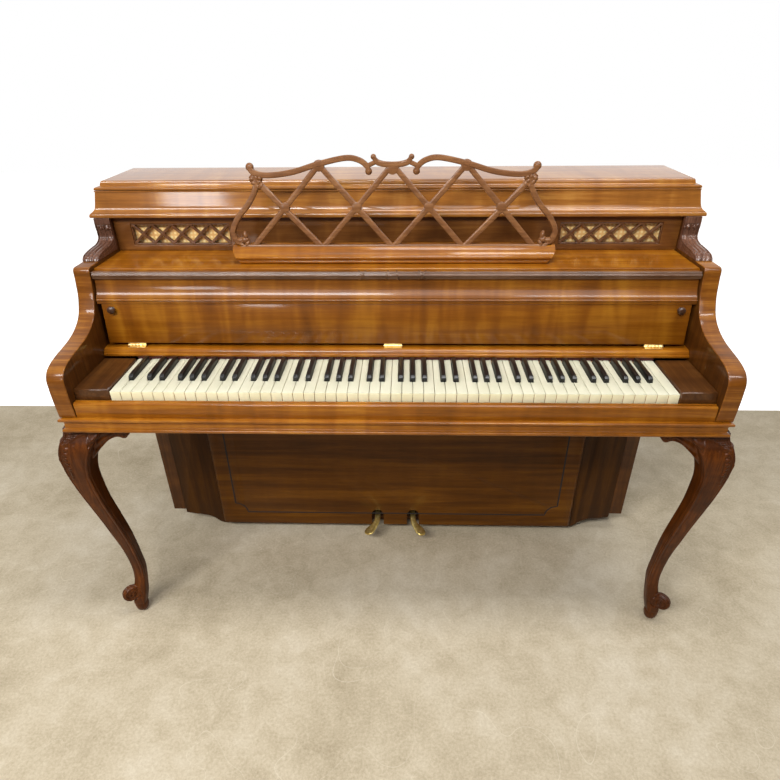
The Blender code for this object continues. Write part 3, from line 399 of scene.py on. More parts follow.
# Gloss sees the white wall behind and overhead, a dimmer room on the player's side, and a
# ceiling that grows brighter upward
facing = addNode(tree, "ShaderNodeSeparateXYZ",
                 links={"Vector": addNode(tree, "ShaderNodeTexCoord").outputs["Generated"]})
room = addNode(tree, "ShaderNodeMapRange", interpolation_type="SMOOTHSTEP",
               values={"From Min": -0.75, "From Max": 0.15, "To Min": 0.05, "To Max": 1.0},
               links={"Value": facing.outputs["Y"]})
ceiling = addNode(tree, "ShaderNodeMapRange", interpolation_type="SMOOTHSTEP",
                  values={"From Min": 0.25, "From Max": 0.90, "To Min": 0, "To Max": 0.60},
                  links={"Value": facing.outputs["Z"]})
room = addNode(tree, "ShaderNodeMath", operation="MAXIMUM",
               links={0: room.outputs[0], 1: ceiling.outputs[0]})
glossy = addNode(tree, "ShaderNodeMath", operation="MULTIPLY",
                 links={0: path.outputs["Is Glossy Ray"], 1: room.outputs[0]})
seen = addNode(tree, "ShaderNodeMath", operation="MAXIMUM",
               links={0: path.outputs["Is Camera Ray"], 1: path.outputs["Is Transmission Ray"]})
seen = addNode(tree, "ShaderNodeMath", operation="MAXIMUM",
               links={0: seen.outputs[0], 1: glossy.outputs[0]})
# The room's own light comes more from the left than from the right
spread = addNode(tree, "ShaderNodeMapRange", links={"Value": facing.outputs["X"]},
                 values={"From Min": -0.8, "From Max": 0.8, "To Min": 0.34, "To Max": 0.10})
diffuse = addNode(tree, "ShaderNodeMath", operation="MULTIPLY",
                  links={0: path.outputs["Is Diffuse Ray"], 1: spread.outputs[0]})
strength = addNode(tree, "ShaderNodeMath", operation="MAXIMUM",
                   links={0: seen.outputs[0], 1: diffuse.outputs[0]})
tree.links.new(strength.outputs[0], background.inputs["Strength"])

deselectAll()
bpy.ops.mesh.primitive_plane_add(size=14, location=(0, 0, 0))
floor = bpy.context.object
floor.name = "studioFloor"
# Sealed concrete: uneven grey-beige clouds, fine speckle and pale hairline scratches
concrete, tree, shader = startMaterial("sealedConcrete", 0.75)
place = addNode(tree, "ShaderNodeTexCoord").outputs["Object"]
clouds = addNode(tree, "ShaderNodeTexNoise", links={"Vector": place},
                 values={"Scale": 2.4, "Detail": 5, "Roughness": 0.6})
speckle = addNode(tree, "ShaderNodeTexNoise", links={"Vector": place},
                  values={"Scale": 150, "Detail": 3, "Roughness": 0.8})
patches = addNode(tree, "ShaderNodeTexNoise", links={"Vector": place},
                  values={"Scale": 19, "Detail": 8, "Roughness": 0.75, "Distortion": 0.6})
tone = addNode(tree, "ShaderNodeMix", values={"Factor": 0.36},
               links={"A": clouds.outputs["Fac"], "B": patches.outputs["Fac"]})
tone = addNode(tree, "ShaderNodeMix", values={"Factor": 0.30},
               links={"A": tone.outputs[0], "B": speckle.outputs["Fac"]})
tone = addNode(tree, "ShaderNodeValToRGB", links={"Fac": tone.outputs[0]},
               stops=((0.36, "#a8987b"), (0.50, "#cabb9f"), (0.63, "#e0d4bd"))).outputs[0]
# Hairline scratches, where a stretched and bent noise passes through its middle value
for turn, scale in ((0.5, (1.1, 2.3, 1)), (2.2, (1.7, 1.2, 1))):
    tilt = addNode(tree, "ShaderNodeMapping", links={"Vector": place},
                   values={"Rotation": (0, 0, turn), "Scale": scale})
    lines = addNode(tree, "ShaderNodeTexNoise", links={"Vector": tilt.outputs[0]},
                    values={"Scale": 2.2, "Detail": 1, "Distortion": 0.3})
    lines = addNode(tree, "ShaderNodeMath", operation="COMPARE", values={1: 0.42, 2: 0.0006},
                    links={0: lines.outputs["Fac"]})
    lines = addNode(tree, "ShaderNodeMath", operation="MULTIPLY", values={1: 0.35},
                    links={0: lines.outputs[0]})
    tone = addNode(tree, "ShaderNodeMix", data_type="RGBA", values={7: toLinear("#ece2cd")},
                   links={0: lines.outputs[0], 6: tone}).outputs[2]
wall = addNode(tree, "ShaderNodeMath", values={1: view["wallLine"]}, operation="GREATER_THAN",
               links={0: addNode(tree, "ShaderNodeSeparateXYZ", links={"Vector": place}).outputs["Y"]})
tone = addNode(tree, "ShaderNodeMix", data_type="RGBA", values={7: toLinear("#f6f5f2")},
               links={0: wall.outputs[0], 6: tone})
tree.links.new(tone.outputs[2], shader.inputs["Base Color"])
# The wall's white is lifted for the rays that look at it, and keeps the shadow on it
look = addNode(tree, "ShaderNodeLightPath")
look = addNode(tree, "ShaderNodeMath", operation="MAXIMUM",
               links={0: look.outputs["Is Camera Ray"], 1: look.outputs["Is Glossy Ray"]})
lift = addNode(tree, "ShaderNodeMath", operation="MULTIPLY",
               links={0: look.outputs[0], 1: wall.outputs[0]})
lift = addNode(tree, "ShaderNodeMath", operation="MULTIPLY", values={1: 0.85},
               links={0: lift.outputs[0]})
shader.inputs["Emission Color"].default_value = (1, 1, 1, 1)
tree.links.new(lift.outputs[0], shader.inputs["Emission Strength"])
setMaterial(floor, concrete)
print("stage set")


def lacqueredWalnut(name, grain, dark, middle, light, figure=12, ribbon=0.3, coat=0.7, sheen=0.10):
    # Walnut veneer under rubbed lacquer: fine brown lines along the grain, short dark pores,
    # faint ribbons across it, and a clear coat that gives soft mirror-like highlights.
    # figure is the width of the grain's lines in mm, coat and sheen the coat's weight and roughness.
    made, tree, shader = startMaterial(name, 0.42)
    place = addNode(tree, "ShaderNodeTexCoord").outputs["Object"]
    along = "XYZ".index(grain)
    lines = [0.045 if axis == along else 1 for axis in range(3)]
    across = [1 if axis == along else 0.16 for axis in range(3)]
    lines = addNode(tree, "ShaderNodeMapping", values={"Scale": lines}, links={"Vector": place})
    across = addNode(tree, "ShaderNodeMapping", values={"Scale": across}, links={"Vector": place})
    wide = addNode(tree, "ShaderNodeTexNoise", links={"Vector": lines.outputs[0]},
                   values={"Scale": 1000 / figure, "Detail": 6, "Roughness": 0.62, "Distortion": 0.5})
    # Real pores are 0.2 mm wide, and are drawn 1.2 mm wide here so that they show
    pores = addNode(tree, "ShaderNodeTexNoise", links={"Vector": lines.outputs[0]},
                    values={"Scale": 1000 / 1.2, "Detail": 2, "Roughness": 0.5})
    ribbons = addNode(tree, "ShaderNodeTexNoise", links={"Vector": across.outputs[0]},
                      values={"Scale": 1000 / 45, "Detail": 2, "Distortion": 0.6})
    clouds = addNode(tree, "ShaderNodeTexNoise", values={"Scale": 3.0, "Detail": 2},
                     links={"Vector": place})
    tone = addNode(tree, "ShaderNodeMix", values={"Factor": 0.22},
                   links={"A": wide.outputs["Fac"], "B": pores.outputs["Fac"]})
    tone = addNode(tree, "ShaderNodeMix", values={"Factor": ribbon},
                   links={"A": tone.outputs[0], "B": ribbons.outputs["Fac"]})
    tone = addNode(tree, "ShaderNodeMix", values={"Factor": 0.18},
                   links={"A": tone.outputs[0], "B": clouds.outputs["Fac"]})
    tone = addNode(tree, "ShaderNodeValToRGB", links={"Fac": tone.outputs[0]},
                   stops=((0.34, dark), (0.50, middle), (0.64, light)))
    tree.links.new(tone.outputs[0], shader.inputs["Base Color"])
    bump = addNode(tree, "ShaderNodeBump", values={"Strength": 0.12, "Distance": 0.0002},
                   links={"Height": pores.outputs["Fac"]})
    tree.links.new(bump.outputs[0], shader.inputs["Normal"])
    shader.inputs["Specular IOR Level"].default_value = 0.12
    shader.inputs["Coat Weight"].default_value = coat
    shader.inputs["Coat IOR"].default_value = 1.45
    shader.inputs["Coat Roughness"].default_value = sheen
    return made


walnutLong = lacqueredWalnut("walnutLong", "X", "#623403", "#8e520a", "#b4761e", coat=0.55)
walnutTop = lacqueredWalnut("walnutTop", "X", "#6e3f10", "#965d1e", "#b98239", coat=0.85)
walnutFall = lacqueredWalnut("walnutFall", "X", "#542c02", "#7b4506", "#9b6314", 16, 0.5, 0.5)
# Darker, greyer walnut for the fallboard's reeds: painted reflection and shade
walnutReed = lacqueredWalnut("walnutReed", "X", "#3f2716", "#5e3f29", "#7c5a42", 12, 0.3, 0.7)
walnutTopEnd = lacqueredWalnut("walnutTopEnd", "Y", "#6e3f10", "#965d1e", "#b98239", coat=0.85)
walnutLongEnd = lacqueredWalnut("walnutLongEnd", "Y", "#623403", "#8e520a", "#b4761e", coat=0.55)
walnutArm = lacqueredWalnut("walnutArm", "X", "#4c2904", "#76420a", "#a1671f", 14, 0.2, 0.5)
# Darker walnut of the case sides, also laid on the arms' side faces as painted shade
walnutSide = lacqueredWalnut("walnutSide", "Z", "#331a05", "#4d2a0a", "#683d13", 12, 0.3, 0.4)
walnutUpper = lacqueredWalnut("walnutUpper", "X", "#512f10", "#70441c", "#8b5b29", 12, 0.3, 0.4)
# Key blocks in a darker walnut: painted shade beside the arms
walnutBlock = lacqueredWalnut("walnutBlock", "Y", "#311a08", "#4b2b10", "#653f1b", 12, 0.3, 0.5)
# Lower panel written darker than the case above: painted shade under the keybed
walnutPanel = lacqueredWalnut("walnutPanel", "X", "#3f2102", "#593204", "#74470b", 26, 0.08, 0.1)
# Darkest walnut for the keybed, the lower sides and the bottom board: painted shade under the keybed and
# behind the pedal notches
walnutShade = lacqueredWalnut("walnutShade", "Z", "#271301", "#3d2002", "#553105", 26, 0.08, 0.08)
walnutCarved = lacqueredWalnut("walnutCarved", "Z", "#2e1302", "#4b2304", "#6a360a", 8, 0.3, 0.14, 0.08)
walnutBracket = lacqueredWalnut("walnutBracket", "Z", "#3d2419", "#5b3a2a", "#7d5743", 6, 0.2, 0.6, 0.14)
walnutRack = lacqueredWalnut("walnutRack", "X", "#5c3820", "#7a4f2d", "#956840", 7, 0.25, 0.35, 0.2)
walnutLattice = lacqueredWalnut("walnutLattice", "X", "#4a2d1a", "#6b4529", "#8d6543", 7, 0.2, 0.5, 0.2)


def grainy(name, dark, light, size, roughness, metallic=0.0, relief=0.0, stretch=(1, 1, 1)):
    # A finish of two near tones in an even grain; size is the grain's width in mm, relief in m
    made, tree, shader = startMaterial(name, roughness, metallic)
    place = addNode(tree, "ShaderNodeTexCoord").outputs["Object"]
    spread = addNode(tree, "ShaderNodeMapping", values={"Scale": stretch}, links={"Vector": place})
    noise = addNode(tree, "ShaderNodeTexNoise", values={"Scale": 1000 / size, "Detail": 4},
                    links={"Vector": spread.outputs[0]})
    tone = addNode(tree, "ShaderNodeValToRGB", stops=((0.3, dark), (0.7, light)),
                   links={"Fac": noise.outputs["Fac"]})
    tree.links.new(tone.outputs[0], shader.inputs["Base Color"])
    if relief:
        bump = addNode(tree, "ShaderNodeBump", values={"Strength": 0.4, "Distance": relief},
                       links={"Height": noise.outputs["Fac"]})
        tree.links.new(bump.outputs[0], shader.inputs["Normal"])
    return made


keyPlastic = grainy("keyPlastic", "#d2cfb4", "#dad7bf", 60, 0.22)  # moulded acrylic, cream, glossy
keyLip = grainy("keyLipPlastic", "#f6efc6", "#fcf6d2", 60, 0.3)  # thicker cream acrylic of the fronts, written brighter than the tops as painted light
keyEbony = grainy("stainedEbony", "#040404", "#0b0a0a", 3, 0.36, relief=0.00004, stretch=(1, 0.1, 1))
keyWood = grainy("bareBasswood", "#b98d57", "#cfa873", 3, 0.6, stretch=(1, 0.05, 1))
grooveShadeFinish = grainy("paintedGrooveShade", "#0d0502", "#170a04", 2, 0.8)  # black strip in the panel's border groove, matt: painted shade of the groove
beech = grainy("bareBeech", "#a8794a", "#c09360", 4, 0.6, relief=0.0002, stretch=(0.1, 1, 1))
beechPost = grainy("bareBeechPost", "#a47648", "#bd905d", 4, 0.6, relief=0.0002, stretch=(1, 1, 0.1))
maple = grainy("bareMaple", "#c49a66", "#d9b483", 3, 0.5, stretch=(0.15, 1, 0.15))
spruce = grainy("varnishedSpruce", "#b98548", "#d3a566", 3, 0.36, stretch=(0.4, 1, 0.03))
bronzedIron = grainy("bronzedIron", "#8a6a34", "#a5834a", 2, 0.42, 0.7, 0.0003)  # sand-cast, gilded
platedSteel = grainy("platedSteel", "#8d8d8b", "#a6a6a3", 5, 0.3, 1.0)
copperWire = grainy("copperWire", "#9a5a30", "#b5713f", 1, 0.35, 1.0, 0.0003, (1, 1, 3))
dyedFelt = grainy("dyedFelt", "#3a100c", "#501913", 1.5, 0.95, relief=0.0006)  # pressed wool, maroon
hammerFelt = grainy("hammerFelt", "#d3cbb8", "#e6dfcf", 2, 0.95, relief=0.0005)  # white pressed wool
darkRubber = grainy("blackRubber", "#0c0908", "#171210", 3, 0.38)
polishedBrass = grainy("polishedBrass", "#b08a3c", "#d0ab58", 12, 0.2, 1.0)
satinBrass = grainy("satinBrass", "#e0bf78", "#f6dfa4", 12, 0.42, 1.0)  # brushed hinge leaves, evenly bright
turnedWalnut = grainy("turnedWalnut", "#2c170b", "#4a2b18", 6, 0.3)  # dark stained, end grain, glossy
pedalBrass = grainy("wornBrass", "#bfa24e", "#efdb93", 9, 0.42, 1.0, 0.00006)  # dulled by shoes

# Open weave of gold and cream yarn, with a soft nap
grilleWeave, tree, shader = startMaterial("grilleWeave", 0.8)
place = addNode(tree, "ShaderNodeTexCoord").outputs["Object"]
# Yarns 0.8 mm apart in the real cloth are drawn 1.6 mm apart so that they show
yarns = [addNode(tree, "ShaderNodeTexWave", values={"Scale": 1000 / 1.6 / 20, "Distortion": 0.4},
                 links={"Vector": place}, bands_direction=axis) for axis in "XZ"]
weave = addNode(tree, "ShaderNodeMath", operation="MULTIPLY",
                links={0: yarns[0].outputs["Fac"], 1: yarns[1].outputs["Fac"]})
fleck = addNode(tree, "ShaderNodeTexNoise", values={"Scale": 60, "Detail": 3}, links={"Vector": place})
tone = addNode(tree, "ShaderNodeMix", values={"Factor": 0.55},
               links={"A": weave.outputs[0], "B": fleck.outputs["Fac"]})
tone = addNode(tree, "ShaderNodeValToRGB", links={"Fac": tone.outputs[0]},
               stops=((0.15, "#d59a52"), (0.40, "#f2c67a"), (0.70, "#ffe6a6")))
tree.links.new(tone.outputs[0], shader.inputs["Base Color"])
bump = addNode(tree, "ShaderNodeBump", values={"Strength": 0.5, "Distance": 0.0004},
               links={"Height": weave.outputs[0]})
tree.links.new(bump.outputs[0], shader.inputs["Normal"])
shader.inputs["Sheen Weight"].default_value = 0.3
print("finishes made")


def turnGrain(piece, finish):
    # Faces on the ends of a board or moulding take the finish whose grain runs front to back
    piece.data.materials.append(finish)
    for face in piece.data.polygons:
        sideways = abs(face.normal.x)
        face.material_index = int(sideways > 0.3 and sideways > abs(face.normal.y))


# Pieces whose CAD form is right: new name, finish, slot, rounding of the sharp edges
refined = {
    "case_side_left": ("caseSideLeft", walnutSide, "walnut", 0.0008),
    "case_side_right": ("caseSideRight", walnutSide, "walnut", 0.0008),
    "upper_panel": ("upperPanel", walnutUpper, "walnut", 0.0009),
    "music_shelf": ("musicShelf", walnutLong, "walnut", 0.0006),
    "nameboard_rail": ("nameboardRail", walnutLong, "walnut", 0.0006),
    "keybed": ("keybedBoard", walnutShade, "walnut", 0.0010),
    "keybed_moulding": ("keybedMoulding", walnutLong, "walnut", 0.0005),
    "keyslip": ("keyslipRail", walnutLong, "walnut", 0.0006),
    "key_block_left": ("keyBlockLeft", walnutBlock, "walnut", 0.0008),
    "key_block_right": ("keyBlockRight", walnutBlock, "walnut", 0.0008),
    "lower_panel": ("lowerPanel", walnutPanel, "walnut", 0.0005),
    "lower_side_left": ("lowerSideLeft", walnutShade, "walnut", 0.0010),
    "lower_side_right": ("lowerSideRight", walnutShade, "walnut", 0.0010),
    "bottom_board": ("bottomBoard", walnutShade, "plain_wood", 0.0010),
    "back_frame": ("backPosts", beechPost, "plain_wood", 0.0020),
    "soundboard": ("soundboardAndRibs", spruce, "spruce", 0.0010),
    "iron_plate": ("ironPlate", bronzedIron, "bronzed_iron", 0.0020),
    "rear_glide_left": ("rearGlideLeft", platedSteel, "steel", 0.0012),
    "rear_glide_right": ("rearGlideRight", platedSteel, "steel", 0.0012),
}
for node, (name, finish, slot, rounding) in refined.items():
    piece = refineNode(node, name, finish, slot, "case", rounding)
    if node == "keybed_moulding":
        turnGrain(piece, walnutLongEnd)
    if node in ("case_side_left", "case_side_right", "upper_panel"):
        for vert in piece.data.vertices:  # up to the foot of the top moulding
            vert.co.z += 0.0054 * (vert.co.z > 1.0150)
for side in ("left", "right"):
    refineNode("pedal_dowel_" + side, "pedalDowel" + side.title(), beech, "plain_wood",
               "pedal_dowel_" + side, 0.0015)
print("plain case pieces refined")


top = {
    "half": 0.721, "front": 0.351, "back": 0.5480,
    # Height of the tall hollow above the foot's fillet, and how far it stands out
    "hollow": [(1.0356, 0.0132), (1.0372, 0.0108), (1.0400, 0.0078), (1.0435, 0.0056), (1.0480, 0.0040),
               (1.0540, 0.0027), (1.0610, 0.0015), (1.0690, 0.0002), (1.0770, -0.0012), (1.0815, -0.0019)],
    "lid": [(-0.0030, 1.0852), (-0.0016, 1.0860), (-0.0010, 1.0880), (-0.0014, 1.0902), (-0.0030, 1.0918),
            (-0.0055, 1.0928), (-0.0118, 1.0934), (-0.0128, 1.0946), (-0.0132, 1.0975),
            (-0.0142, 1.1018), (-0.0156, 1.1042), (-0.0185, 1.1055), (-0.0220, 1.1059)],
    "lidBack": 0.5500,
}
profile = [(-0.022, 1.0245), (0.0148, 1.0245), (0.0162, 1.0252), (0.0168, 1.0268), (0.0168, 1.0290),
           (0.0163, 1.0316), (0.0153, 1.0336), (0.0142, 1.0344), (0.0134, 1.0346)]
profile += [(out, z) for z, out in (alongPath(top["hollow"], step / 24) for step in range(25))]
profile += [(-0.0016, 1.0822), (-0.0004, 1.0828), (-0.0004, 1.0838), (-0.0014, 1.0846), (-0.022, 1.0846)]
frieze = addMitred("topMoulding", profile, top["half"], top["front"], top["back"])
roundEdges(frieze, 0, smooth=30)
setMaterial(frieze, walnutTop)
turnGrain(frieze, walnutTopEnd)
seat(frieze, "case", "walnut", "top_frieze")
lid = addSlab("lidBoard", top["lid"], top["half"], top["front"], top["lidBack"])
roundEdges(lid, 0.0004, 2, 40, 30)
setMaterial(lid, walnutTop)
turnGrain(lid, walnutTopEnd)
seat(lid, "lid", "walnut", "lid")

ledge = {
    # Sloping hollow front over two round lips
    "outline": [
        (0.2830, 0.9403), (0.2830, 0.9790), (0.2680, 0.9790), (0.2630, 0.9782, 1), (0.2560, 0.9735, 1),
        (0.2490, 0.9665, 1), (0.2435, 0.9600, 1), (0.2405, 0.9574), (0.2391, 0.9568, 1), (0.2382, 0.9550, 1),
        (0.2382, 0.9528, 1), (0.2392, 0.9510, 1), (0.2408, 0.9504), (0.2412, 0.9482), (0.2398, 0.9474, 1),
        (0.2390, 0.9456, 1), (0.2390, 0.9436, 1), (0.2400, 0.9416, 1), (0.2425, 0.9404), (0.2480, 0.9403),
    ],
    "half": 0.3742, "ends": [(0.940, 0.0190), (0.948, 0.0130), (0.958, 0.0055), (0.968, 0.0005),
                             (0.979, 0.0005)],
}
piece = addOutline("rackLedge", [ledge["outline"]], "side", -ledge["half"], ledge["half"])
roundEdges(piece, 0.0005, 2, 60, 35)
for vert in piece.data.vertices:  # ends rounded from top to bottom, shortest at the foot
    share = min(max((vert.co.z - 0.940) / 0.039, 0), 1)
    vert.co.x -= math.copysign(alongPath(ledge["ends"], share)[1], vert.co.x)
setMaterial(piece, walnutLong)
seat(piece, "case", "walnut", "rack_ledge")
print("top mouldings and lid made")


arm = {
    "outer": -0.730, "inner": -0.692, "rounding": 0.0024,
    "outline": [
        (-0.0185, 0.6763), (-0.0215, 0.722, 1), (-0.0215, 0.750, 1), (-0.0195, 0.7715, 1),
        (-0.0105, 0.7855, 1), (0.002, 0.7930, 1), (0.030, 0.8010, 1), (0.066, 0.8065, 1),
        (0.099, 0.8125, 1), (0.134, 0.8255, 1), (0.159, 0.8440, 1), (0.1725, 0.8660, 1),
        (0.1805, 0.8870, 1), (0.1845, 0.9080, 1), (0.1874, 0.9260, 1), (0.1880, 0.9350, 1),
        (0.1894, 0.9410, 1), (0.1928, 0.9452, 1), (0.1975, 0.9470), (0.3427, 0.9470), (0.3427, 0.6763),
    ],
}
piece = addOutline("armLeft", [arm["outline"]], "side", arm["outer"], arm["inner"], 10)
roundEdges(piece, arm["rounding"], 4, 60, 30)
setMaterial(piece, walnutArm, walnutSide)
# The arms' side faces take the darker walnut, as painted shade
for face in piece.data.polygons:
    face.material_index = abs(face.normal.x) > 0.9
right = copyPiece(piece, "armRight", (-arm["outer"] - arm["inner"], 0, 0))
seat(piece, "case", "walnut", "arm_left")
seat(right, "case", "walnut", "arm_right")
print("arms made")


leg = {
    "diagonal": 0.735,  # depth of a section's middle, less its x
    # Height, outer and inner x across the section, squareness
    "stations": [
        (0.6397, -0.741, -0.663, 12), (0.622, -0.744, -0.665, 11), (0.603, -0.753, -0.679, 10),
        (0.576, -0.7595, -0.692, 9), (0.545, -0.7592, -0.702, 8.5), (0.510, -0.756, -0.7075, 8),
        (0.465, -0.750, -0.7070, 8), (0.416, -0.742, -0.7040, 7.5), (0.351, -0.731, -0.6965, 7),
        (0.299, -0.723, -0.6905, 6.5), (0.251, -0.7155, -0.6865, 6), (0.205, -0.7105, -0.6840, 5.5),
        (0.160, -0.7080, -0.6820, 5), (0.128, -0.7095, -0.6838, 5), (0.100, -0.7140, -0.6865, 5),
        (0.070, -0.7205, -0.6900, 4.5), (0.040, -0.7240, -0.6960, 4.5),
    ],
    "ear": [
        (-0.708, 0.6395), (-0.604, 0.6395), (-0.6000, 0.627, 1), (-0.6010, 0.616, 1), (-0.6060, 0.609, 1),
        (-0.6125, 0.6075, 1), (-0.6190, 0.6105, 1), (-0.6262, 0.6115, 1), (-0.6335, 0.6095, 1),
        (-0.648, 0.6020, 1), (-0.6645, 0.5870, 1), (-0.680, 0.5715, 1), (-0.693, 0.5565, 1),
        (-0.702, 0.5450), (-0.708, 0.5450),
    ],
    "earDepth": (0.001, 0.034), "earCurl": (-0.6090, 0.6170), "earTop": 0.6395,
    "volute": (-0.7225, 0.081), "voluteRadius": 0.0238, "voluteLength": 0.019,
    "shoe": [(0.0005, 0.055), (0.0140, 0.052), (0.0165, 0.042), (0.0180, 0.032), (0.0178, 0.022),
             (0.0155, 0.0120), (0.0110, 0.0045), (0.0060, 0.0008), (0.0005, 0.0004)],
    "shoeX": -0.7125, "shoeDepth": 0.0280, "grain": 0.0013,
    # Carving on the knee, in metres from the section's middle and above the floor
    "scroll": [(-0.030, 0.603), (-0.020, 0.607), (-0.008, 0.617), (0.004, 0.627), (0.020, 0.633),
               (0.034, 0.637)],
    "leaves": [
        [(-0.031, 0.566), (-0.026, 0.552), (-0.022, 0.540)],
        [(-0.013, 0.536), (-0.010, 0.524), (-0.012, 0.510)],
        [(-0.004, 0.600), (-0.003, 0.572), (-0.006, 0.545), (-0.010, 0.520)],
    ],
    # Height and radius of the beads that run down beside the knee's corner
    "beads": [(0.605, 0.0056), (0.5925, 0.0055), (0.5805, 0.0052), (0.5690, 0.0049), (0.5585, 0.0045),
              (0.5490, 0.0040), (0.5410, 0.0035)],
    "beadLine": 0.017,
}


def legSection(z):
    # x of the middle, half the width across the flats and the squareness at a height
    stations = leg["stations"]
    z = min(max(z, stations[-1][0]), stations[0][0])
    for upper, lower in zip(stations, stations[1:]):
        if lower[0] <= z:
            break
    share = (upper[0] - z) / (upper[0] - lower[0])
    outer, inner, power = (a + (b - a) * share for a, b in zip(upper[1:], lower[1:]))
    return (outer + inner) / 2, (inner - outer) / 2 / 2 ** (-1 / power), power


def legPoint(u, v):
    z, outer, inner, power = alongPath(leg["stations"], v)
    middle, half = (outer + inner) / 2, (inner - outer) / 2 / 2 ** (-1 / power)
    across, back = squareRound(2 * math.pi * u, power)
    return middle + half * across, keyFront + middle + leg["diagonal"] + half * back, z


def legCarving(spot, normal):
    middle, half, power = legSection(spot.z)
    behind = keyFront + middle + leg["diagonal"]
    across, back = spot.x - middle, spot.y - behind
    corner = half * 2 ** (-1 / power)
    # The two outer faces mirror each other at the knee's corner
    beside = across if back < across else back
    raised = 0.0
    facing = max(-normal.x, -normal.y, 0) ** 2
    if spot.z > 0.485 and beside < half * 1.02 and facing > 0.2:
        scroll = math.exp(-(distanceTo(leg["scroll"], beside, spot.z) / 0.0018) ** 2)
        raised += 0.0015 * scroll
        raised += 0.0012 * math.exp(-(math.hypot(beside + 0.0285, spot.z - 0.6005) / 0.0040) ** 2)
        for leaf in leg["leaves"]:
            raised += 0.0014 * math.exp(-(distanceTo(leaf, beside, spot.z) / 0.0026) ** 2)
            raised -= 0.0006 * math.exp(-(distanceTo(leaf, beside, spot.z) / 0.0060) ** 2)
        # Hollow strip beside the corner, in which the beads lie
        strip = math.exp(-((beside + corner - leg["beadLine"]) / 0.0058) ** 4)
        raised -= 0.0012 * strip * (0.545 < spot.z < 0.615)
        for height, radius in leg["beads"]:
            away = math.hypot(beside + corner - leg["beadLine"], spot.z - height)
            raised += 0.0030 * math.exp(-(away / radius) ** 4)
        overScroll = spot.z > 0.612 + max(beside + 0.02, 0) * 0.55
        if overScroll and spot.z < 0.637 and beside < 0.026 and scroll < 0.3:
            hatch = math.cos((beside + spot.z) * 2 * math.pi / 0.0076)
            hatch *= math.cos((beside - spot.z) * 2 * math.pi / 0.0076)
            raised -= 0.0011 * (1 - hatch) * facing
    # Crisp lines down the two corners next to the knee's
    if 0.13 < spot.z < 0.60:
        edge = min(math.hypot(across - corner, back + corner), math.hypot(across + corner, back - corner))
        raised += 0.0013 * math.exp(-(edge / 0.0024) ** 2) * min((0.60 - spot.z) / 0.03, 1)
        raised -= 0.0009 * math.exp(-((edge - 0.0052) / 0.0020) ** 2) * min((0.60 - spot.z) / 0.03, 1)
    # Ribs along both ears, and the spiral on their tips
    reach = max(across, back) + middle
    top, (curlX, curlZ) = leg["earTop"], leg["earCurl"]
    if reach > -0.688 and spot.z > 0.556 and max(-normal.x, -normal.y) > 0.3:
        low = 0.6095 - max(-0.6335 - reach, 0) * 0.97
        share = (top - spot.z) / (top - low)
        if reach < curlX - 0.010:
            fade = min((curlX - 0.010 - reach) / 0.012, 1)
            for line in (0.20, 0.50, 0.78):
                raised -= 0.0030 * math.exp(-((share - line) / 0.080) ** 2) * fade
        away = math.hypot(reach - curlX, spot.z - curlZ)
        turn = math.atan2(spot.z - curlZ, reach - curlX) / (2 * math.pi)
        ring = (away / 0.0068 - turn) % 1
        raised -= 0.0018 * math.exp(-((ring - 0.5) / 0.16) ** 2) * (away < 0.011)
    # Reeds that roll over the foot's scroll, and a spiral on both of its ends
    x, z = leg["volute"]
    out = -((spot.x - x) + (spot.y - keyFront - x - leg["diagonal"])) / math.sqrt(2)
    sideways = ((spot.x - x) - (spot.y - keyFront - x - leg["diagonal"])) / math.sqrt(2)
    away = math.hypot(out, spot.z - z)
    if abs(normal.x - normal.y) > 0.9:
        turn = math.atan2(spot.z - z, out) / (2 * math.pi)
        ring = (away / 0.0105 - turn + 0.15) % 1
        raised -= 0.0026 * math.exp(-((ring - 0.5) / 0.17) ** 2) * (away < leg["voluteRadius"])
    elif out > -0.004 and away > leg["voluteRadius"] - 0.006 and spot.z > 0.052:
        for line in (-0.0062, 0.0062):
            raised -= 0.0032 * math.exp(-((sideways - line) / 0.0021) ** 2)
    return raised


stem = wrapGrid("legStem", 64, 150, legPoint)
ears = [addOutline("ear", [leg["ear"]], "front", *leg["earDepth"], 6)]
rearEar = [(spot[0] + leg["diagonal"],) + spot[1:] for spot in leg["ear"]]
rearReach = [depth - leg["diagonal"] for depth in leg["earDepth"]]
ears.append(addOutline("ear", [rearEar], "side", *rearReach, 6))
x, z = leg["volute"]
half = leg["voluteLength"] / 2 / math.sqrt(2)
y = keyFront + x + leg["diagonal"]
volute = addRod("volute", (x - half, y + half, z), (x + half, y - half, z), leg["voluteRadius"], 40)
roundEdges(volute, 0.004, 3)
for ear in ears:
    roundEdges(ear, 0.004, 2, 50)
shoe = wrapGrid("shoe", 40, 30, lambda u, v: (
    leg["shoeX"] + alongPath(leg["shoe"], v)[0] * math.cos(2 * math.pi * u),
    keyFront + leg["shoeDepth"] + alongPath(leg["shoe"], v)[0] * math.sin(2 * math.pi * u),
    alongPath(leg["shoe"], v)[1]))
legLeft = joinPieces("legLeft", [stem, *ears, volute, shoe])
carve(legLeft, leg["grain"], 4, legCarving)
setMaterial(legLeft, walnutCarved)
legRight = copyPiece(legLeft, "legRight", mirror=True)
seat(legLeft, "case", "walnut", "leg_left")
seat(legRight, "case", "walnut", "leg_right")
print("legs carved")


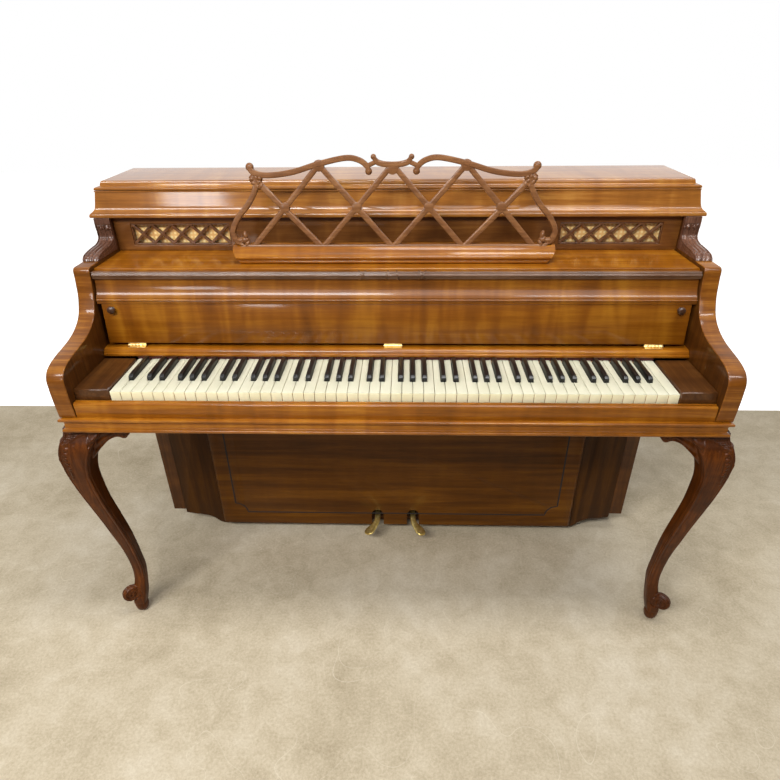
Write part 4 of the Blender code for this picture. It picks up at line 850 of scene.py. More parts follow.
bracket = {
    "outer": -0.729, "inner": -0.6905, "grain": 0.0008,
    "outline": [
        (0.3427, 1.0243), (0.333, 1.0243), (0.3315, 1.005, 1), (0.3335, 0.990, 1), (0.3310, 0.977, 1),
        (0.3160, 0.969, 1), (0.2890, 0.966, 1), (0.2620, 0.963, 1), (0.2430, 0.957, 1),
        (0.2360, 0.9473), (0.3427, 0.9473),
    ],
    # Reeds: distance from the inner side, half width, radius of the eye at the top (0 for none)
    "reeds": [(0.0019, 0.0019, 0.0022), (0.0098, 0.0055, 0.0042), (0.0190, 0.0024, 0),
              (0.0245, 0.0027, 0.0026), (0.0295, 0.0018, 0), (0.0331, 0.0018, 0)],
    "footReeds": [(0.0019, 0.0019, 0), (0.0098, 0.0055, 0), (0.0205, 0.0040, 0), (0.0300, 0.0055, 0)],
    "reedDepth": 0.0032, "eyeHeight": 1.0005, "toe": 0.257,
}


def bracketCarving(spot, normal):
    depth = spot.y - keyFront
    across = bracket["inner"] - spot.x
    facing = max(-normal.y, normal.z * 0.9 if spot.z < 0.985 else 0, 0)
    raised = 0.0
    if facing > 0.25:
        crown = 0
        reeds = bracket["reeds"] if spot.z > 0.975 else bracket["footReeds"]
        for centre, half, eye in reeds:
            crown = max(crown, 1 - ((across - centre) / half) ** 2)
        raised -= bracket["reedDepth"] * (1 - math.sqrt(crown)) * min(facing * 1.5, 1)
        if spot.z > 1.0075:
            raised = -0.0010 * (spot.z < 1.0095) - 0.0012 * (across > 0.028)
        for centre, half, eye in reeds:
            if eye and depth > 0.32:
                away = math.hypot(across - centre, spot.z - bracket["eyeHeight"])
                raised += 0.0028 * math.exp(-(away / eye) ** 4)
        if depth < 0.30:
            raised -= 0.0024 * math.exp(-((depth - bracket["toe"]) / 0.0022) ** 2)
    if abs(normal.x) > 0.7:
        front = [(a, b) for a, b, *_ in bracket["outline"][1:10]]
        away = distanceTo(front, depth, spot.z)
        raised -= 0.0014 * math.exp(-((away - 0.0055) / 0.0014) ** 2)
        raised -= 0.0010 * math.exp(-((away - 0.0120) / 0.0016) ** 2)
    return raised


bracketLeft = addOutline("bracketLeft", [bracket["outline"]], "side", bracket["outer"],
                         bracket["inner"], 6)
carve(bracketLeft, bracket["grain"], 2, bracketCarving)
setMaterial(bracketLeft, walnutBracket)
bracketRight = copyPiece(bracketLeft, "bracketRight", mirror=True)
seat(bracketLeft, "case", "dark_walnut", "scroll_bracket_left")
seat(bracketRight, "case", "dark_walnut", "scroll_bracket_right")
print("brackets carved")


grille = {
    "left": -0.651, "right": -0.404, "low": 0.9545, "high": 1.0070, "gap": 0.0003,
    "cells": 5, "bar": 0.0064, "rim": 0.0032, "depth": (0.354, 0.362), "shift": 1.055,
    "chamfer": 0.0015,
}
left, right = grille["left"] + grille["gap"], grille["right"] - grille["gap"]
low, high = grille["low"] + grille["gap"], grille["high"] - grille["gap"]
loops = [[(left, low), (right, low), (right, high), (left, high)]]
left, right, low, high = (value + grille["rim"] * sign
                          for value, sign in ((left, 1), (right, -1), (low, 1), (high, -1)))
step, middle = (right - left) / grille["cells"], (low + high) / 2
slope = (high - low) / step
lift = grille["bar"] / 2 * math.hypot(1, slope)
reach = lift / slope
for index in range(grille["cells"]):
    start = left + index * step
    centre = start + step / 2
    loops.append([(start + reach, low), (start + step - reach, low), (centre, middle - lift)])
    loops.append([(start + reach, high), (start + step - reach, high), (centre, middle + lift)])
    loop = [(centre - reach, middle), (start, low + lift), (start, high - lift)]
    if index:
        loop.insert(2, (start - step / 2 + reach, middle))
    loops.append(loop)
loops.append([(right, low + lift), (right, high - lift), (right - step / 2 + reach, middle)])
grilleLeft = addOutline("grilleLeft", loops, "front", *grille["depth"])
roundEdges(grilleLeft, grille["chamfer"], 2, 30, 20)
setMaterial(grilleLeft, walnutLattice)
grilleRight = copyPiece(grilleLeft, "grilleRight", (grille["shift"], 0, 0))
seat(grilleLeft, "case", "dark_walnut", "grille_left")
seat(grilleRight, "case", "dark_walnut", "grille_right")
print("grilles made")


rack = {
    "depth": 0.262, "foot": 0.945, "lean": math.radians(6),
    "bar": 0.0125, "thick": 0.0104, "step": 0.1635, "low": 0.972, "high": 1.153, "corner": 1.132,
    "crest": [
        (0.3175, 1.152, 0.006), (0.318, 1.148, 0.0120), (0.309, 1.1370, 0.0125), (0.280, 1.1315, 0.0125),
        (0.225, 1.1375, 0.0125), (0.164, 1.1545, 0.0125), (0.104, 1.1665, 0.0125),
        (0.074, 1.162, 0.0125), (0.057, 1.150, 0.0120), (0.053, 1.139, 0.0090),
    ],
    "ridge": [
        (-0.0415, 1.169, 0.008), (-0.034, 1.158, 0.0125), (-0.018, 1.1535, 0.0125), (0, 1.1525, 0.0125),
        (0.018, 1.1535, 0.0125), (0.034, 1.158, 0.0125), (0.0415, 1.169, 0.008),
    ],
    "scroll": [
        (0.306, 1.126, 0.011), (0.309, 1.105, 0.0125), (0.327, 1.073, 0.0125), (0.356, 1.040, 0.0125),
        (0.3705, 1.012, 0.0125), (0.3690, 0.998, 0.0125), (0.3630, 0.987, 0.0120),
        (0.3520, 0.983, 0.0110),
    ],
    # Rounded ends: x, z, radius, thickness
    "knobs": [
        (0.3180, 1.1490, 0.0092, 0.0136), (0.0530, 1.1390, 0.0080, 0.0134),
        (0.0420, 1.1685, 0.0062, 0.0132),
    ],
    # Leaves where the crest, the side scroll and the outer bar meet: x, z, long, wide, turn
    "leaves": [
        (0.3150, 1.1240, 0.0082, 0.0064, 120), (0.3060, 1.1265, 0.0075, 0.0058, 90),
        (0.2975, 1.1255, 0.0072, 0.0052, 40), (0.3000, 1.1175, 0.0076, 0.0058, 10),
        (0.3110, 1.1150, 0.0088, 0.0062, -140), (0.2955, 1.1095, 0.0078, 0.0048, -50),
        (0.3040, 1.1075, 0.0072, 0.0052, -90), (0.3430, 1.0010, 0.0095, 0.0052, 78),
        (0.3450, 0.9900, 0.0095, 0.0080, 0), (0.3570, 0.9890, 0.0110, 0.0062, 0),
        (0.3405, 0.9810, 0.0095, 0.0055, -60), (0.3530, 0.9800, 0.0090, 0.0050, 20),
    ],
}


def rackPoint(x, z, through=0.0):
    # Point of the leaning rack, from its own height and the way through its thickness
    up = z - rack["foot"]
    return (x, keyFront + rack["depth"] + up * math.sin(rack["lean"]) - through * math.cos(rack["lean"]),
            rack["foot"] + up * math.cos(rack["lean"]) + through * math.sin(rack["lean"]))


def addFret(points, thickness, along=36, groove=0.0, power=4.5):
    track = [rackPoint(x, z) + (width, thickness) for x, z, width in points]
    facing = Vector(rackPoint(0, 1, 1)) - Vector(rackPoint(0, 1))
    return sweep("fret", track, facing, 20, along, power, groove)


def bothWays(points):
    return [points, [(-x, *rest) for x, *rest in points]]


frets = []
crossings, tops = [], []
width, step = rack["bar"], rack["step"]
for index in range(-2, 2):
    foot = index * step
    top = (foot + step, rack["high"]) if index < 1 else (foot + step / 2 + 0.072, rack["corner"])
    for turn, points in enumerate(bothWays([(foot, rack["low"], width), (*top, width)])):
        frets.append(addFret(points, rack["thick"] - turn * 0.0006, 3, 0, 7))
    crossings.append((foot + step / 2, (rack["low"] + rack["high"]) / 2))
    if index < 1:
        tops.append((foot + step, rack["high"] + (0.004 if index + 1 else -0.003)))
for points in bothWays(rack["crest"]):
    frets.append(addFret(points, 0.0126, 60, 0, 5.5))
frets.append(addFret(rack["ridge"], 0.0122, 36, 0, 5.5))
for points in bothWays([(0.0375, 1.158, 0.010), (0.056, 1.150, 0.010)]):
    frets.append(addFret(points, 0.0114, 4))
for points in bothWays(rack["scroll"]):
    frets.append(addFret(points, 0.0122, 50, 0, 5.5))
frets.append(addFret([(-0.354, 0.9725, 0.015), (0.354, 0.9725, 0.015)], 0.0124, 3, 0, 8))
leanBack = Matrix.Rotation(-rack["lean"], 4, "X")
# Flat pads that cover the joints: a lozenge at each crossing, a small triangle under the crest
for x, z in crossings:
    pad = addRod("pad", (0, -0.0058, 0), (0, 0.0058, 0), 0.0108, 24)
    roundEdges(pad, 0.0008, 2, 60)
    pad.data.transform(Matrix.Translation(rackPoint(x, z)) @ leanBack)
    frets.append(pad)
for x, z in tops:
    pad = addRod("pad", (0, -0.0056, 0), (0, 0.0056, 0), 0.0125, 24)
    roundEdges(pad, 0.0008, 2, 60)
    pad.data.transform(Matrix.Translation(rackPoint(x, z - 0.006)) @ leanBack)
    frets.append(pad)
for x, z, radius, thickness in rack["knobs"]:
    for side in (-1, 1):
        frets.append(addBall("knob", rackPoint(side * x, z), (radius, thickness / 2, radius), leanBack))
for x, z, long, wide, turn in rack["leaves"]:
    for side in (-1, 1):
        angle = math.radians(turn) if side > 0 else math.pi - math.radians(turn)
        spin = leanBack @ Matrix.Rotation(-angle, 4, "Y")
        frets.append(addBall("leaf", rackPoint(side * x, z), (long, 0.0072, wide), spin, 16, 10))
musicRack = joinPieces("musicRack", frets)
setMaterial(musicRack, walnutRack)
seat(musicRack, "case", "dark_walnut", "music_rack")
print("rack made")


fall = {
    "hingeDepth": 0.172, "hingeHeight": 0.763, "lean": math.radians(6), "noseHalf": 0.6895,
    "noseStart": 0.1013, "noseEnd": 0.176, "thick": 0.018,
}


def fallPoint(along, through, x=None):
    # Point of the open fallboard, from its hinge line up and from its face back
    depth = fall["hingeDepth"] + along * math.sin(fall["lean"]) + through * math.cos(fall["lean"])
    z = fall["hingeHeight"] + along * math.cos(fall["lean"]) - through * math.sin(fall["lean"])
    return (depth, z) if x is None else (x, keyFront + depth, z)


def fallArc(along, through, radius, first, last, steps):
    # Angles in degrees, from the way out of the face round towards the free edge
    angles = [math.radians(first + (last - first) * i / steps) for i in range(steps + 1)]
    return [(along + radius * math.sin(a), through - radius * math.cos(a)) for a in angles]


refineNode("fallboard", "fallBoardPanel", walnutFall, "walnut", "fallboard", 0.0008)
profile = [(fall["noseStart"], 0), (0.1019, -0.0012), (0.1066, -0.0012)]
profile += fallArc(0.1100, 0, 0.0032, -70, 70, 9) + [(0.1142, -0.0010), (0.1155, -0.0010)]
profile += [(0.1155 + 0.0425 * i / 14, -0.0008 + 0.0103 * (1 - (1 - i / 14) ** 3)) for i in range(1, 15)]
profile = [spot for spot in profile if spot[0] < 0.1575] + [(0.1580, 0.0094)]
for turn in (-52, 0, 52):
    lean = math.radians(turn)
    profile += fallArc(0.1670 + 0.0072 * math.sin(lean), 0.0095 - 0.0072 * math.cos(lean), 0.0034,
                       turn - 68, turn + 68, 8)
profile += [(fall["noseEnd"], 0.0090), (fall["noseEnd"], 0.0150), (0.1730, fall["thick"]),
            (fall["noseStart"], fall["thick"])]
nose = addOutline("fallNose", [[fallPoint(*spot) for spot in profile]], "side",
                  -fall["noseHalf"], fall["noseHalf"])
roundEdges(nose, 0, smooth=32)
# Ribbon that ties the three reeds, crossed on both sides of the middle and wrapped at it
ribbons = []
for centre, slant in ((-0.068, 1), (-0.068, -1), (0.068, 1), (0.068, -1), (-0.012, 0.3), (0.012, -0.3)):
    track = []
    for degrees in range(-86, 87, 12):
        angle = math.radians(degrees)
        spot = fallPoint(0.1670 + 0.0110 * math.sin(angle), 0.0095 - 0.0110 * math.cos(angle),
                         centre + slant * 0.00011 * degrees)
        track.append((*spot, 0.0014, 0.0030))
    ribbons.append(sweep("ribbon", track, (1, 0, 0), 10, 30, 3))
nose = joinPieces("fallNose", [nose, *ribbons])
setMaterial(nose, walnutFall, walnutReed)
for face in nose.data.polygons:  # the reeded edge takes a darker, greyer walnut: painted reflection and shade on the reeds
    face.material_index = face.center.z > fallPoint(0.1582, 0)[1] and face.normal.z < 0.97
seat(nose, "fallboard", "walnut", "fallboard_nose")

# Turned button with a domed head and a narrow neck, from its seat to its crown
button = {
    "along": 0.088, "x": 0.657,
    "profile": [(0.0002, 0.0003), (0.0064, 0.0003), (0.0066, 0.0014), (0.0052, 0.0030),
                (0.0054, 0.0050), (0.0086, 0.0064), (0.0090, 0.0086), (0.0076, 0.0110),
                (0.0045, 0.0124), (0.0002, 0.0128)],
}


def addTurned(name, profile, base, axis, sides=24, steps=30):
    # Lathe-turned form: profile of (radius, height) from a base point along an axis
    turn = Vector((0, 0, 1)).rotation_difference(Vector(axis)).to_matrix()

    def place(u, v):
        radius, height = alongPath(profile, v)[:2]
        angle = 2 * math.pi * u
        return Vector(base) + turn @ Vector((radius * math.cos(angle), radius * math.sin(angle), height))

    return wrapGrid(name, sides, steps, place)


outOfFace = (0, -math.cos(fall["lean"]), math.sin(fall["lean"]))
stopLeft = addTurned("stopButtonLeft", button["profile"], fallPoint(button["along"], 0, -button["x"]),
                     outOfFace)
setMaterial(stopLeft, turnedWalnut)
stopRight = copyPiece(stopLeft, "stopButtonRight", (2 * button["x"], 0, 0))
seat(stopLeft, "fallboard", "ebony", "stop_button_left")
seat(stopRight, "fallboard", "ebony", "stop_button_right")

butt = {"width": 0.042, "radius": 0.0032, "knuckles": 5,
        "places": {"left": -0.614, "middle": 0.001, "right": 0.612}}


def addKnuckles(start, end, y, z, radius, count, sides=16):
    # Row of hinge knuckles with a fine gap between one and the next
    rods = []
    for index in range(count):
        low = start + (end - start) * index / count + 0.0002
        high = start + (end - start) * (index + 1) / count - 0.0002
        rod = addRod("knuckle", (low, y, z), (high, y, z), radius, sides)
        if sides > 12:
            roundEdges(rod, 0.0003, 2, 60)
        rods.append(rod)
    return rods


barrelY = keyFront + fall["hingeDepth"]
leafOutline = [fallPoint(*spot) for spot in ((0.0026, 0.0005), (0.0046, 0.0005), (0.0046, 0.0165),
                                            (0.0026, 0.0165))]
reachOut = butt["width"] / 2
parts = addKnuckles(-reachOut, reachOut, barrelY, fall["hingeHeight"], butt["radius"], butt["knuckles"])
for end in (-1, 1):
    parts.append(addBall("tip", (end * (reachOut + 0.0003), barrelY, fall["hingeHeight"]),
                         (0.0018, 0.0024, 0.0024), None, 12, 8))
leaf = addOutline("leaf", [leafOutline], "side", -reachOut, reachOut)
roundEdges(leaf, 0.0003, 2, 50)
hinge = joinPieces("fallHingeModel", [*parts, leaf])
setMaterial(hinge, satinBrass)
# Fixed leaves, screwed down on the rail in front of the barrels
plates = []
for x in butt["places"].values():
    plate = addBox("plate", (x - reachOut, keyFront + 0.1655, 0.7590),
                   (x + reachOut, keyFront + 0.1735, 0.7601))
    roundEdges(plate, 0.0003, 2)
    plates.append(plate)
    for step in (-0.015, 0, 0.015):
        head = addTurned("screw", [(0.0001, 0), (0.0020, 0.0001), (0.0019, 0.0003), (0.0010, 0.0006),
                                   (0.0001, 0.0007)], (x + step, keyFront + 0.1685, 0.7600),
                         (0, 0, 1), 12, 8)
        plates.append(head)
fixedLeaves = joinPieces("fallHingeLeaves", plates)
setMaterial(fixedLeaves, satinBrass)
seat(fixedLeaves, "case", "brass")
for side, x in butt["places"].items():
    piece = copyPiece(hinge, "fallHinge" + side.title(), (x, 0, 0))
    seat(piece, "fallboard", "brass", "fallboard_hinge_" + side)
bpy.data.objects.remove(hinge)
print("fallboard made")


lidHinge = {"half": 0.660, "depth": 0.5535, "height": 1.080, "radius": 0.003, "count": 44}
leaf = addBox("leaf", (-lidHinge["half"], keyFront + 0.5483, 1.050),
              (lidHinge["half"], keyFront + 0.5500, 1.078))
roundEdges(leaf, 0.0004, 2)
parts = [leaf]
neck = addBox("neck", (-lidHinge["half"] + 0.0005, keyFront + 0.5488, 1.076),
              (lidHinge["half"] - 0.0005, keyFront + 0.5530, 1.0795))
parts.append(neck)
parts += addKnuckles(-lidHinge["half"], lidHinge["half"], keyFront + lidHinge["depth"],
                     lidHinge["height"], lidHinge["radius"], lidHinge["count"], 12)
for index in range(14):
    x = -0.624 + index * 0.096
    parts.append(addTurned("screw", [(0.0001, 0), (0.0034, 0.0001), (0.0030, 0.0005), (0.0016, 0.0009),
                                     (0.0001, 0.0010)], (x, keyFront + 0.5499, 1.063), (0, 1, 0), 14, 8))
lidHingePiece = joinPieces("lidHingeStrip", parts)
roundEdges(lidHingePiece, 0, smooth=30)
setMaterial(lidHingePiece, polishedBrass)
seat(lidHingePiece, "case", "brass", "lid_hinge")
print("lid hinge made")


# Dark strip in the lower panel's cut border, painted shade of its groove: half its length and the run of its
# round corners
border = {"halfWide": 0.514, "low": 0.082, "high": 0.600, "corner": 0.036, "depth": 0.3438}
track = []
for signX, signZ, start, end in ((-1, -1, 90, 0), (1, -1, 180, 90), (1, 1, 270, 180), (-1, 1, 360, 270)):
    z = border["low"] if signZ < 0 else border["high"]
    for step in range(13):
        angle = math.radians(start + (end - start) * step / 12)
        track.append((signX * border["halfWide"] + border["corner"] * math.cos(angle),
                      z + border["corner"] * math.sin(angle)))


def offsetTrack(points, away):
    # The closed line, moved square to itself
    moved = []
    for index, (x, z) in enumerate(points):
        (x0, z0), (x1, z1) = points[index - 1], points[(index + 1) % len(points)]
        length = math.hypot(x1 - x0, z1 - z0)
        moved.append((x - (z1 - z0) / length * away, z + (x1 - x0) / length * away))
    return moved


grooveShadeLine = addOutline("grooveShadeLine", [offsetTrack(track, 0.0022), offsetTrack(track, -0.0022)], "front",
                       border["depth"], border["depth"] + 0.0012)
roundEdges(grooveShadeLine, 0.0002, 1)
setMaterial(grooveShadeLine, grooveShadeFinish)
seat(grooveShadeLine, "case", "walnut")
print("panel line made")


pedal = {
    "offset": 0.057, "height": 0.070, "pinDepth": 0.378, "pinRadius": 0.003, "pinHalf": 0.017,
    # Depth, swing outward, drop, half width, half thickness
    "stations": [
        (0.424, 0, 0, 0.0060, 0.0035), (0.400, 0, 0, 0.0070, 0.0045), (0.360, 0, 0, 0.0080, 0.0050),
        (0.340, 0.000, -0.001, 0.0088, 0.0050), (0.324, 0.002, -0.004, 0.0092, 0.0049),
        (0.312, 0.008, -0.008, 0.0102, 0.0048), (0.302, 0.015, -0.011, 0.0125, 0.0047),
        (0.292, 0.022, -0.013, 0.0145, 0.0046), (0.283, 0.028, -0.014, 0.0128, 0.0043),
        (0.277, 0.031, -0.014, 0.0078, 0.0034),
    ],
}
track = [(-pedal["offset"] - swing, keyFront + depth, pedal["height"] + drop, 2 * wide, 2 * thick)
         for depth, swing, drop, wide, thick in pedal["stations"]]
body = sweep("pedalLeft", track, (0, 0, 1), 28, 90, 2.8)
pin = addRod("pin", (-pedal["offset"] - pedal["pinHalf"], keyFront + pedal["pinDepth"], pedal["height"]),
             (-pedal["offset"] + pedal["pinHalf"], keyFront + pedal["pinDepth"], pedal["height"]),
             pedal["pinRadius"], 20)
roundEdges(pin, 0.0005, 2, 60)
pedalLeft = joinPieces("pedalLeft", [body, pin])
setMaterial(pedalLeft, pedalBrass)
pedalRight = copyPiece(pedalLeft, "pedalRight", mirror=True)
seat(pedalLeft, "pedal_left", "brass", "pedal_left")
seat(pedalRight, "pedal_right", "brass", "pedal_right")
print("pedals made")


keyboard = {
    "width": 1.225, "whites": 52, "head": 0.0505, "length": 0.360,
    "bottom": 0.708, "top": 0.733, "slot": 0.001, "sharpHalf": 0.0055, "rise": 0.012,
    "sharpEnd": 0.148, "liveFirst": 23, "liveCount": 7,
    "shifts": {0: -0.0022, 1: 0.0022, 3: -0.0030, 4: 0.0, 5: 0.0030},  # from C
    "cap": 0.0028, "capEnd": 0.158, "lip": 0.0012,
    "notch": 0.0024,  # room for a black key to swing down
}
keyStep = keyboard["width"] / keyboard["whites"]


def sharpCentre(white):
    note = (white + 5) % 7
    if note not in keyboard["shifts"] or not 0 <= white < keyboard["whites"] - 1:
        return None
    return -keyboard["width"] / 2 + (white + 1) * keyStep + keyboard["shifts"][note]


def makeWhiteKey(name, white):
    left = -keyboard["width"] / 2 + white * keyStep + keyboard["slot"] / 2
    right = left + keyStep - keyboard["slot"]
    bottom, top = keyboard["bottom"], keyboard["top"]
    clear = keyboard["sharpHalf"] + keyboard["slot"]
    cuts = [left, right]
    if sharpCentre(white - 1) is not None:
        cuts[0] = sharpCentre(white - 1) + clear
    if sharpCentre(white) is not None:
        cuts[1] = sharpCentre(white) - clear
    piece = addBox(name, (left, keyFront, bottom), (right, keyFront + keyboard["head"], top))
    activate(piece)
    bpy.ops.object.mode_set(mode="EDIT")
    for cut in cuts:
        if left + 0.0001 < cut < right - 0.0001:
            bpy.ops.mesh.select_all(action="SELECT")
            bpy.ops.mesh.bisect(plane_co=(cut, 0, 0), plane_no=(1, 0, 0))
    selectFaces(piece, lambda face: face.normal.y > 0.9 and cuts[0] < face.center.x < cuts[1])
    bpy.ops.mesh.extrude_region_move(
        TRANSFORM_OT_translate={"value": (0, keyboard["length"] - keyboard["head"], 0)})
    bpy.ops.mesh.select_all(action="SELECT")
    bpy.ops.mesh.bisect(plane_co=(0, 0, top - keyboard["cap"]), plane_no=(0, 0, 1))
    bpy.ops.mesh.select_all(action="SELECT")
    bpy.ops.mesh.bisect(plane_co=(0, keyFront + keyboard["capEnd"], 0), plane_no=(0, 1, 0))
    bpy.ops.object.mode_set(mode="OBJECT")
    setMaterial(piece, keyPlastic, keyWood, keyLip)
    roundEdges(piece, 0.0007, 2, 50)
    # The front faces take the brighter cream, as painted light
    for face in piece.data.polygons:
        depth = face.center.y - keyFront
        lip = depth < keyboard["lip"] and face.center.z < top - 0.001
        cap = face.center.z > top - keyboard["cap"] and depth < keyboard["capEnd"]
        face.material_index = 2 if lip else 0 if cap else 1
    return piece


def makeBlackKey(name, white):
    centre = sharpCentre(white)
    half, top = keyboard["sharpHalf"], keyboard["top"] + keyboard["rise"]
    start = keyFront + keyboard["head"] + keyboard["notch"]
    end = keyFront + keyboard["sharpEnd"]
    piece = addBox(name, (centre - half, start, keyboard["bottom"]), (centre + half, end, top - 0.016))
    activate(piece)
    selectFaces(piece, lambda face: face.normal.y > 0.9)
    bpy.ops.mesh.extrude_region_move(
        TRANSFORM_OT_translate={"value": (0, keyboard["length"] - keyboard["sharpEnd"], 0)})
    selectFaces(piece, lambda face: face.normal.z > 0.9 and face.center.y < end)
    bpy.ops.mesh.extrude_region_move(TRANSFORM_OT_translate={"value": (0, 0, 0.012)})
    bpy.ops.transform.resize(value=(0.94, 1, 1))
    bpy.ops.mesh.extrude_region_move(TRANSFORM_OT_translate={"value": (0, 0.004, 0.004)})
    bpy.ops.transform.resize(value=(0.88, 0.93, 1))
    bpy.ops.object.mode_set(mode="OBJECT")
    setMaterial(piece, keyEbony, keyWood)
    roundEdges(piece, 0.0010, 3, 25)
    for face in piece.data.polygons:
        face.material_index = 0 if face.center.y < end + 0.001 else 1
    return piece


liveNames = ("c", "d", "e", "f", "g", "a", "b")
models = {}  # one model for each shape of key, by note and by the ends of the keyboard


def placeKey(kind, make, white):
    note = (white + 5) % 7
    ends = "first" if white == 0 else "last" if white == keyboard["whites"] - 1 else ""
    shape = (kind, note, ends)
    if shape not in models:
        models[shape] = (make("%sKey%d" % (kind, white), white), white)
        return models[shape][0]
    model, home = models[shape]
    return copyPiece(model, "%sKey%d" % (kind, white), ((white - home) * keyStep, 0, 0))


fixedKeys = {"white": [], "black": []}
for white in range(keyboard["whites"]):
    live = 0 <= white - keyboard["liveFirst"] < keyboard["liveCount"]
    for kind, make, ending in (("white", makeWhiteKey, ""), ("black", makeBlackKey, "_sharp")):
        if kind == "black" and sharpCentre(white) is None:
            continue
        piece = placeKey(kind, make, white)
        if live:
            node = "key_" + liveNames[white - keyboard["liveFirst"]] + ending
            seat(piece, node, "ivory" if kind == "white" else "ebony", node)
        else:
            fixedKeys[kind].append(piece)
for kind, pieces in fixedKeys.items():
    fixedKeys[kind] = joinPieces(kind + "KeysFixed", pieces)
    seat(fixedKeys[kind], "case", "ivory" if kind == "white" else "ebony")
print("keys made")


keyRails = {
    "front": ((-0.609, 0.006, 0.6763), (0.609, 0.044, 0.692)),
    "balance": ((-0.609, 0.193, 0.6763), (0.609, 0.217, 0.7045)),
    "back": ((-0.609, 0.332, 0.6763), (0.609, 0.3575, 0.705)),
}
rails = []
for low, high in keyRails.values():
    rail = addBox("rail", (low[0], keyFront + low[1], low[2]), (high[0], keyFront + high[1], high[2]))
    roundEdges(rail, 0.002, 2)
    rails.append(rail)
keyRailSet = joinPieces("keyRails", rails)
setMaterial(keyRailSet, beech)
seat(keyRailSet, "case", "plain_wood", "key_frame")
print("key frame made")


action = {
    "first": -0.5925, "step": 1.185 / 87, "notes": 88, "half": 0.0045, "railHalf": 0.6125,
    "rail": ((0.378, 0.800), (0.398, 0.840)),
    "felt": [(0.3985, 0.8965), (0.4130, 0.8985), (0.4258, 0.9055), (0.4130, 0.9128), (0.3985, 0.9145)],
    "shank": ((0.3895, 0.8350), (0.3940, 0.9060)), "shankRadius": 0.0026,
}
(railDepth, railLow), (railBack, railHigh) = action["rail"]
rail = addBox("rail", (-action["railHalf"], keyFront + railDepth, railLow),
              (action["railHalf"], keyFront + railBack, railHigh))
roundEdges(rail, 0.002, 2)
setMaterial(rail, beech)
half = action["half"]
core = addOutline("core", [[(0.3885, 0.8965), (0.4010, 0.8985), (0.4010, 0.9125), (0.3885, 0.9145)]],
                  "side", -half, half)
shankStart, shankEnd = ((0, keyFront + depth, z) for depth, z in action["shank"])
shank = addRod("shank", shankStart, shankEnd, action["shankRadius"], 8)
roundEdges(shank, 0, smooth=50)
model = joinPieces("hammerModel", [core, shank])
setMaterial(model, maple)
head = addOutline("head", [action["felt"]], "side", -half, half)
roundEdges(head, 0.0008, 1, 50)
setMaterial(head, hammerFelt)
model = joinPieces("hammerModel", [model, head])
hammers = [rail]
for index in range(action["notes"]):
    hammers.append(copyPiece(model, "hammer", (action["first"] + index * action["step"], 0, 0)))
bpy.data.objects.remove(model)
hammerRail = joinPieces("hammerAction", hammers)
seat(hammerRail, "case", "plain_wood", "hammer_action")
print("action made")


strung = {
    "depth": 0.4445, "top": 0.965, "striking": 0.935, "bass": 26, "plain": 8,
    "shortest": 0.052, "growth": 1.043, "pinLow": 0.985, "pinStep": 0.011, "pinRadius": 0.0034,
    "spread": 0.0026, "bassLean": 0.17, "bassFoot": (0.215, 0.330),
}
# Runs of the strings: copper-wound ones cross to the right, plain steel ones hang nearly upright
wires = {"copper": [], "steel": [], "pins": []}
bridges = {"treble": [], "bass": []}
for index in range(action["notes"]):
    x = action["first"] + index * action["step"]
    bass = index < strung["bass"]
    count = 1 if index < strung["plain"] else 2 if bass else 3
    if bass:
        low, high = strung["bassFoot"]
        foot = (x + strung["bassLean"], low + (high - low) * index / strung["bass"])
    else:
        length = strung["shortest"] * strung["growth"] ** (action["notes"] - 1 - index)
        foot = (x + length * 0.05, strung["striking"] - length)
    bridges["bass" if bass else "treble"].append(foot)
    for one in range(count):
        shift = (one - (count - 1) / 2) * strung["spread"]
        radius = 0.0014 - 0.0006 * index / strung["bass"] if bass else 0.0005
        depth = strung["depth"] - (0.0035 if bass else 0)
        start = (x + shift, keyFront + depth, strung["top"])
        wire = addRod("wire", start, (foot[0] + shift, keyFront + depth, foot[1]), radius, 6)
        wires["copper" if bass else "steel"].append(wire)
        pinZ = strung["pinLow"] + one * strung["pinStep"] + 0.004 * (index % 3)
        pinX = x + shift
        wires["steel"].append(addRod("wire", (pinX, keyFront + depth, pinZ), start, 0.0005, 6))
        wires["pins"].append(addRod("pin", (pinX, keyFront + 0.4275, pinZ),
                                    (pinX, keyFront + 0.4500, pinZ), strung["pinRadius"], 8))
finishes = {"copper": (copperWire, "bronzed_iron"), "steel": (platedSteel, "steel"),
            "pins": (platedSteel, "steel")}
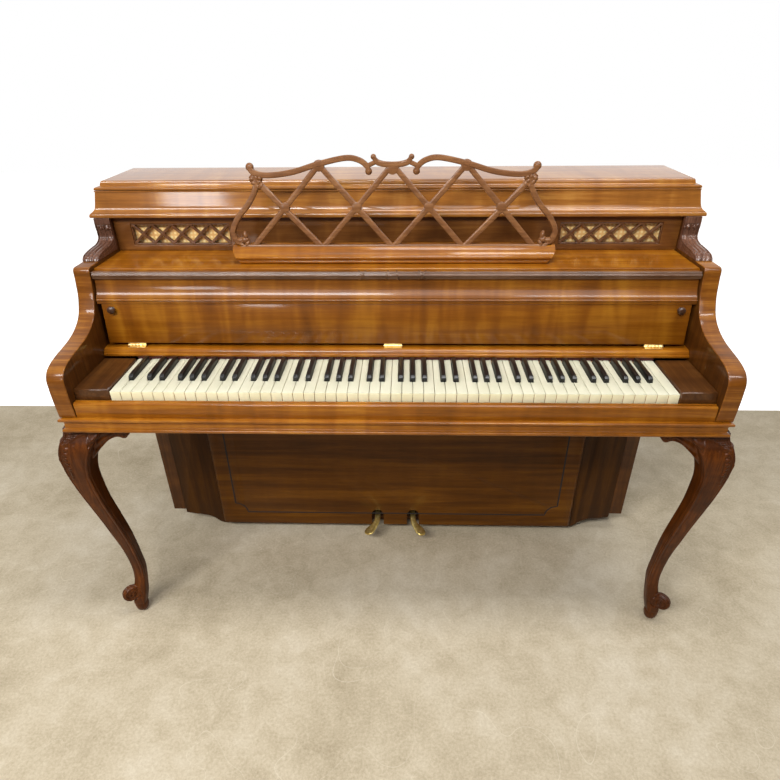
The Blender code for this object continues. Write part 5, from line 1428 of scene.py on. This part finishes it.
for kind, parts in wires.items():
    piece = joinPieces(kind + "Strings" if kind != "pins" else "tuningPins", parts)
    roundEdges(piece, 0, smooth=61)
    setMaterial(piece, finishes[kind][0])
    seat(piece, "case", finishes[kind][1])
# Maple bridges on the soundboard, under the lower ends of the strings
for kind, points in bridges.items():
    track = [(x, keyFront + 0.4575, z + 0.004, 0.020, 0.020) for x, z in points]
    bridge = sweep(kind + "Bridge", track, (0, 1, 0), 16, 60, 7)
    setMaterial(bridge, maple)
    seat(bridge, "case", "plain_wood")
print("strings made")


def makeSheet(name, low, high, across, finish):
    # Cloth strip between two corners, held flat, with a slight wave
    deselectAll()
    middle = [(a + b) / 2 for a, b in zip(low, high)]
    bpy.ops.mesh.primitive_grid_add(x_subdivisions=across[0], y_subdivisions=across[1], size=1,
                                    location=(0, 0, 0), rotation=(math.radians(90), 0, 0))
    piece = bpy.context.object
    piece.name = name
    bpy.ops.object.transform_apply(location=True, rotation=True, scale=True)
    for vert in piece.data.vertices:
        wave = 0.0003 * math.sin(vert.co.x * 9) * math.cos(vert.co.z * 5)
        vert.co = (middle[0] + vert.co.x * (high[0] - low[0]), middle[1] + wave,
                   middle[2] + vert.co.z * (high[2] - low[2]))
    applyModifier(piece, "SOLIDIFY", thickness=0.0008, offset=0)
    roundEdges(piece, 0, smooth=30)
    setMaterial(piece, finish)
    return piece


cloths = {
    "grille_cloth_left": {"name": "grilleClothLeft", "slot": "cloth", "finish": grilleWeave,
                          "cells": (60, 16), "on": "upper_panel"},
    "grille_cloth_right": {"name": "grilleClothRight", "slot": "cloth", "finish": grilleWeave,
                           "cells": (60, 16), "on": "upper_panel"},
    "nameboard_felt": {"name": "nameboardFeltStrip", "slot": "felt", "finish": dyedFelt,
                       "cells": (120, 3), "on": "nameboard_rail"},
}
for node, facts in cloths.items():
    low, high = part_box(node)
    width, height = high.x - low.x, high.z - low.z
    if height < 0.0105:
        low.z, height = high.z - 0.0105, 0.0105
    strip = makeSheet(facts["name"], low, high, facts["cells"], facts["finish"])
    seat(strip, "case", facts["slot"], node)
print("cloth made")
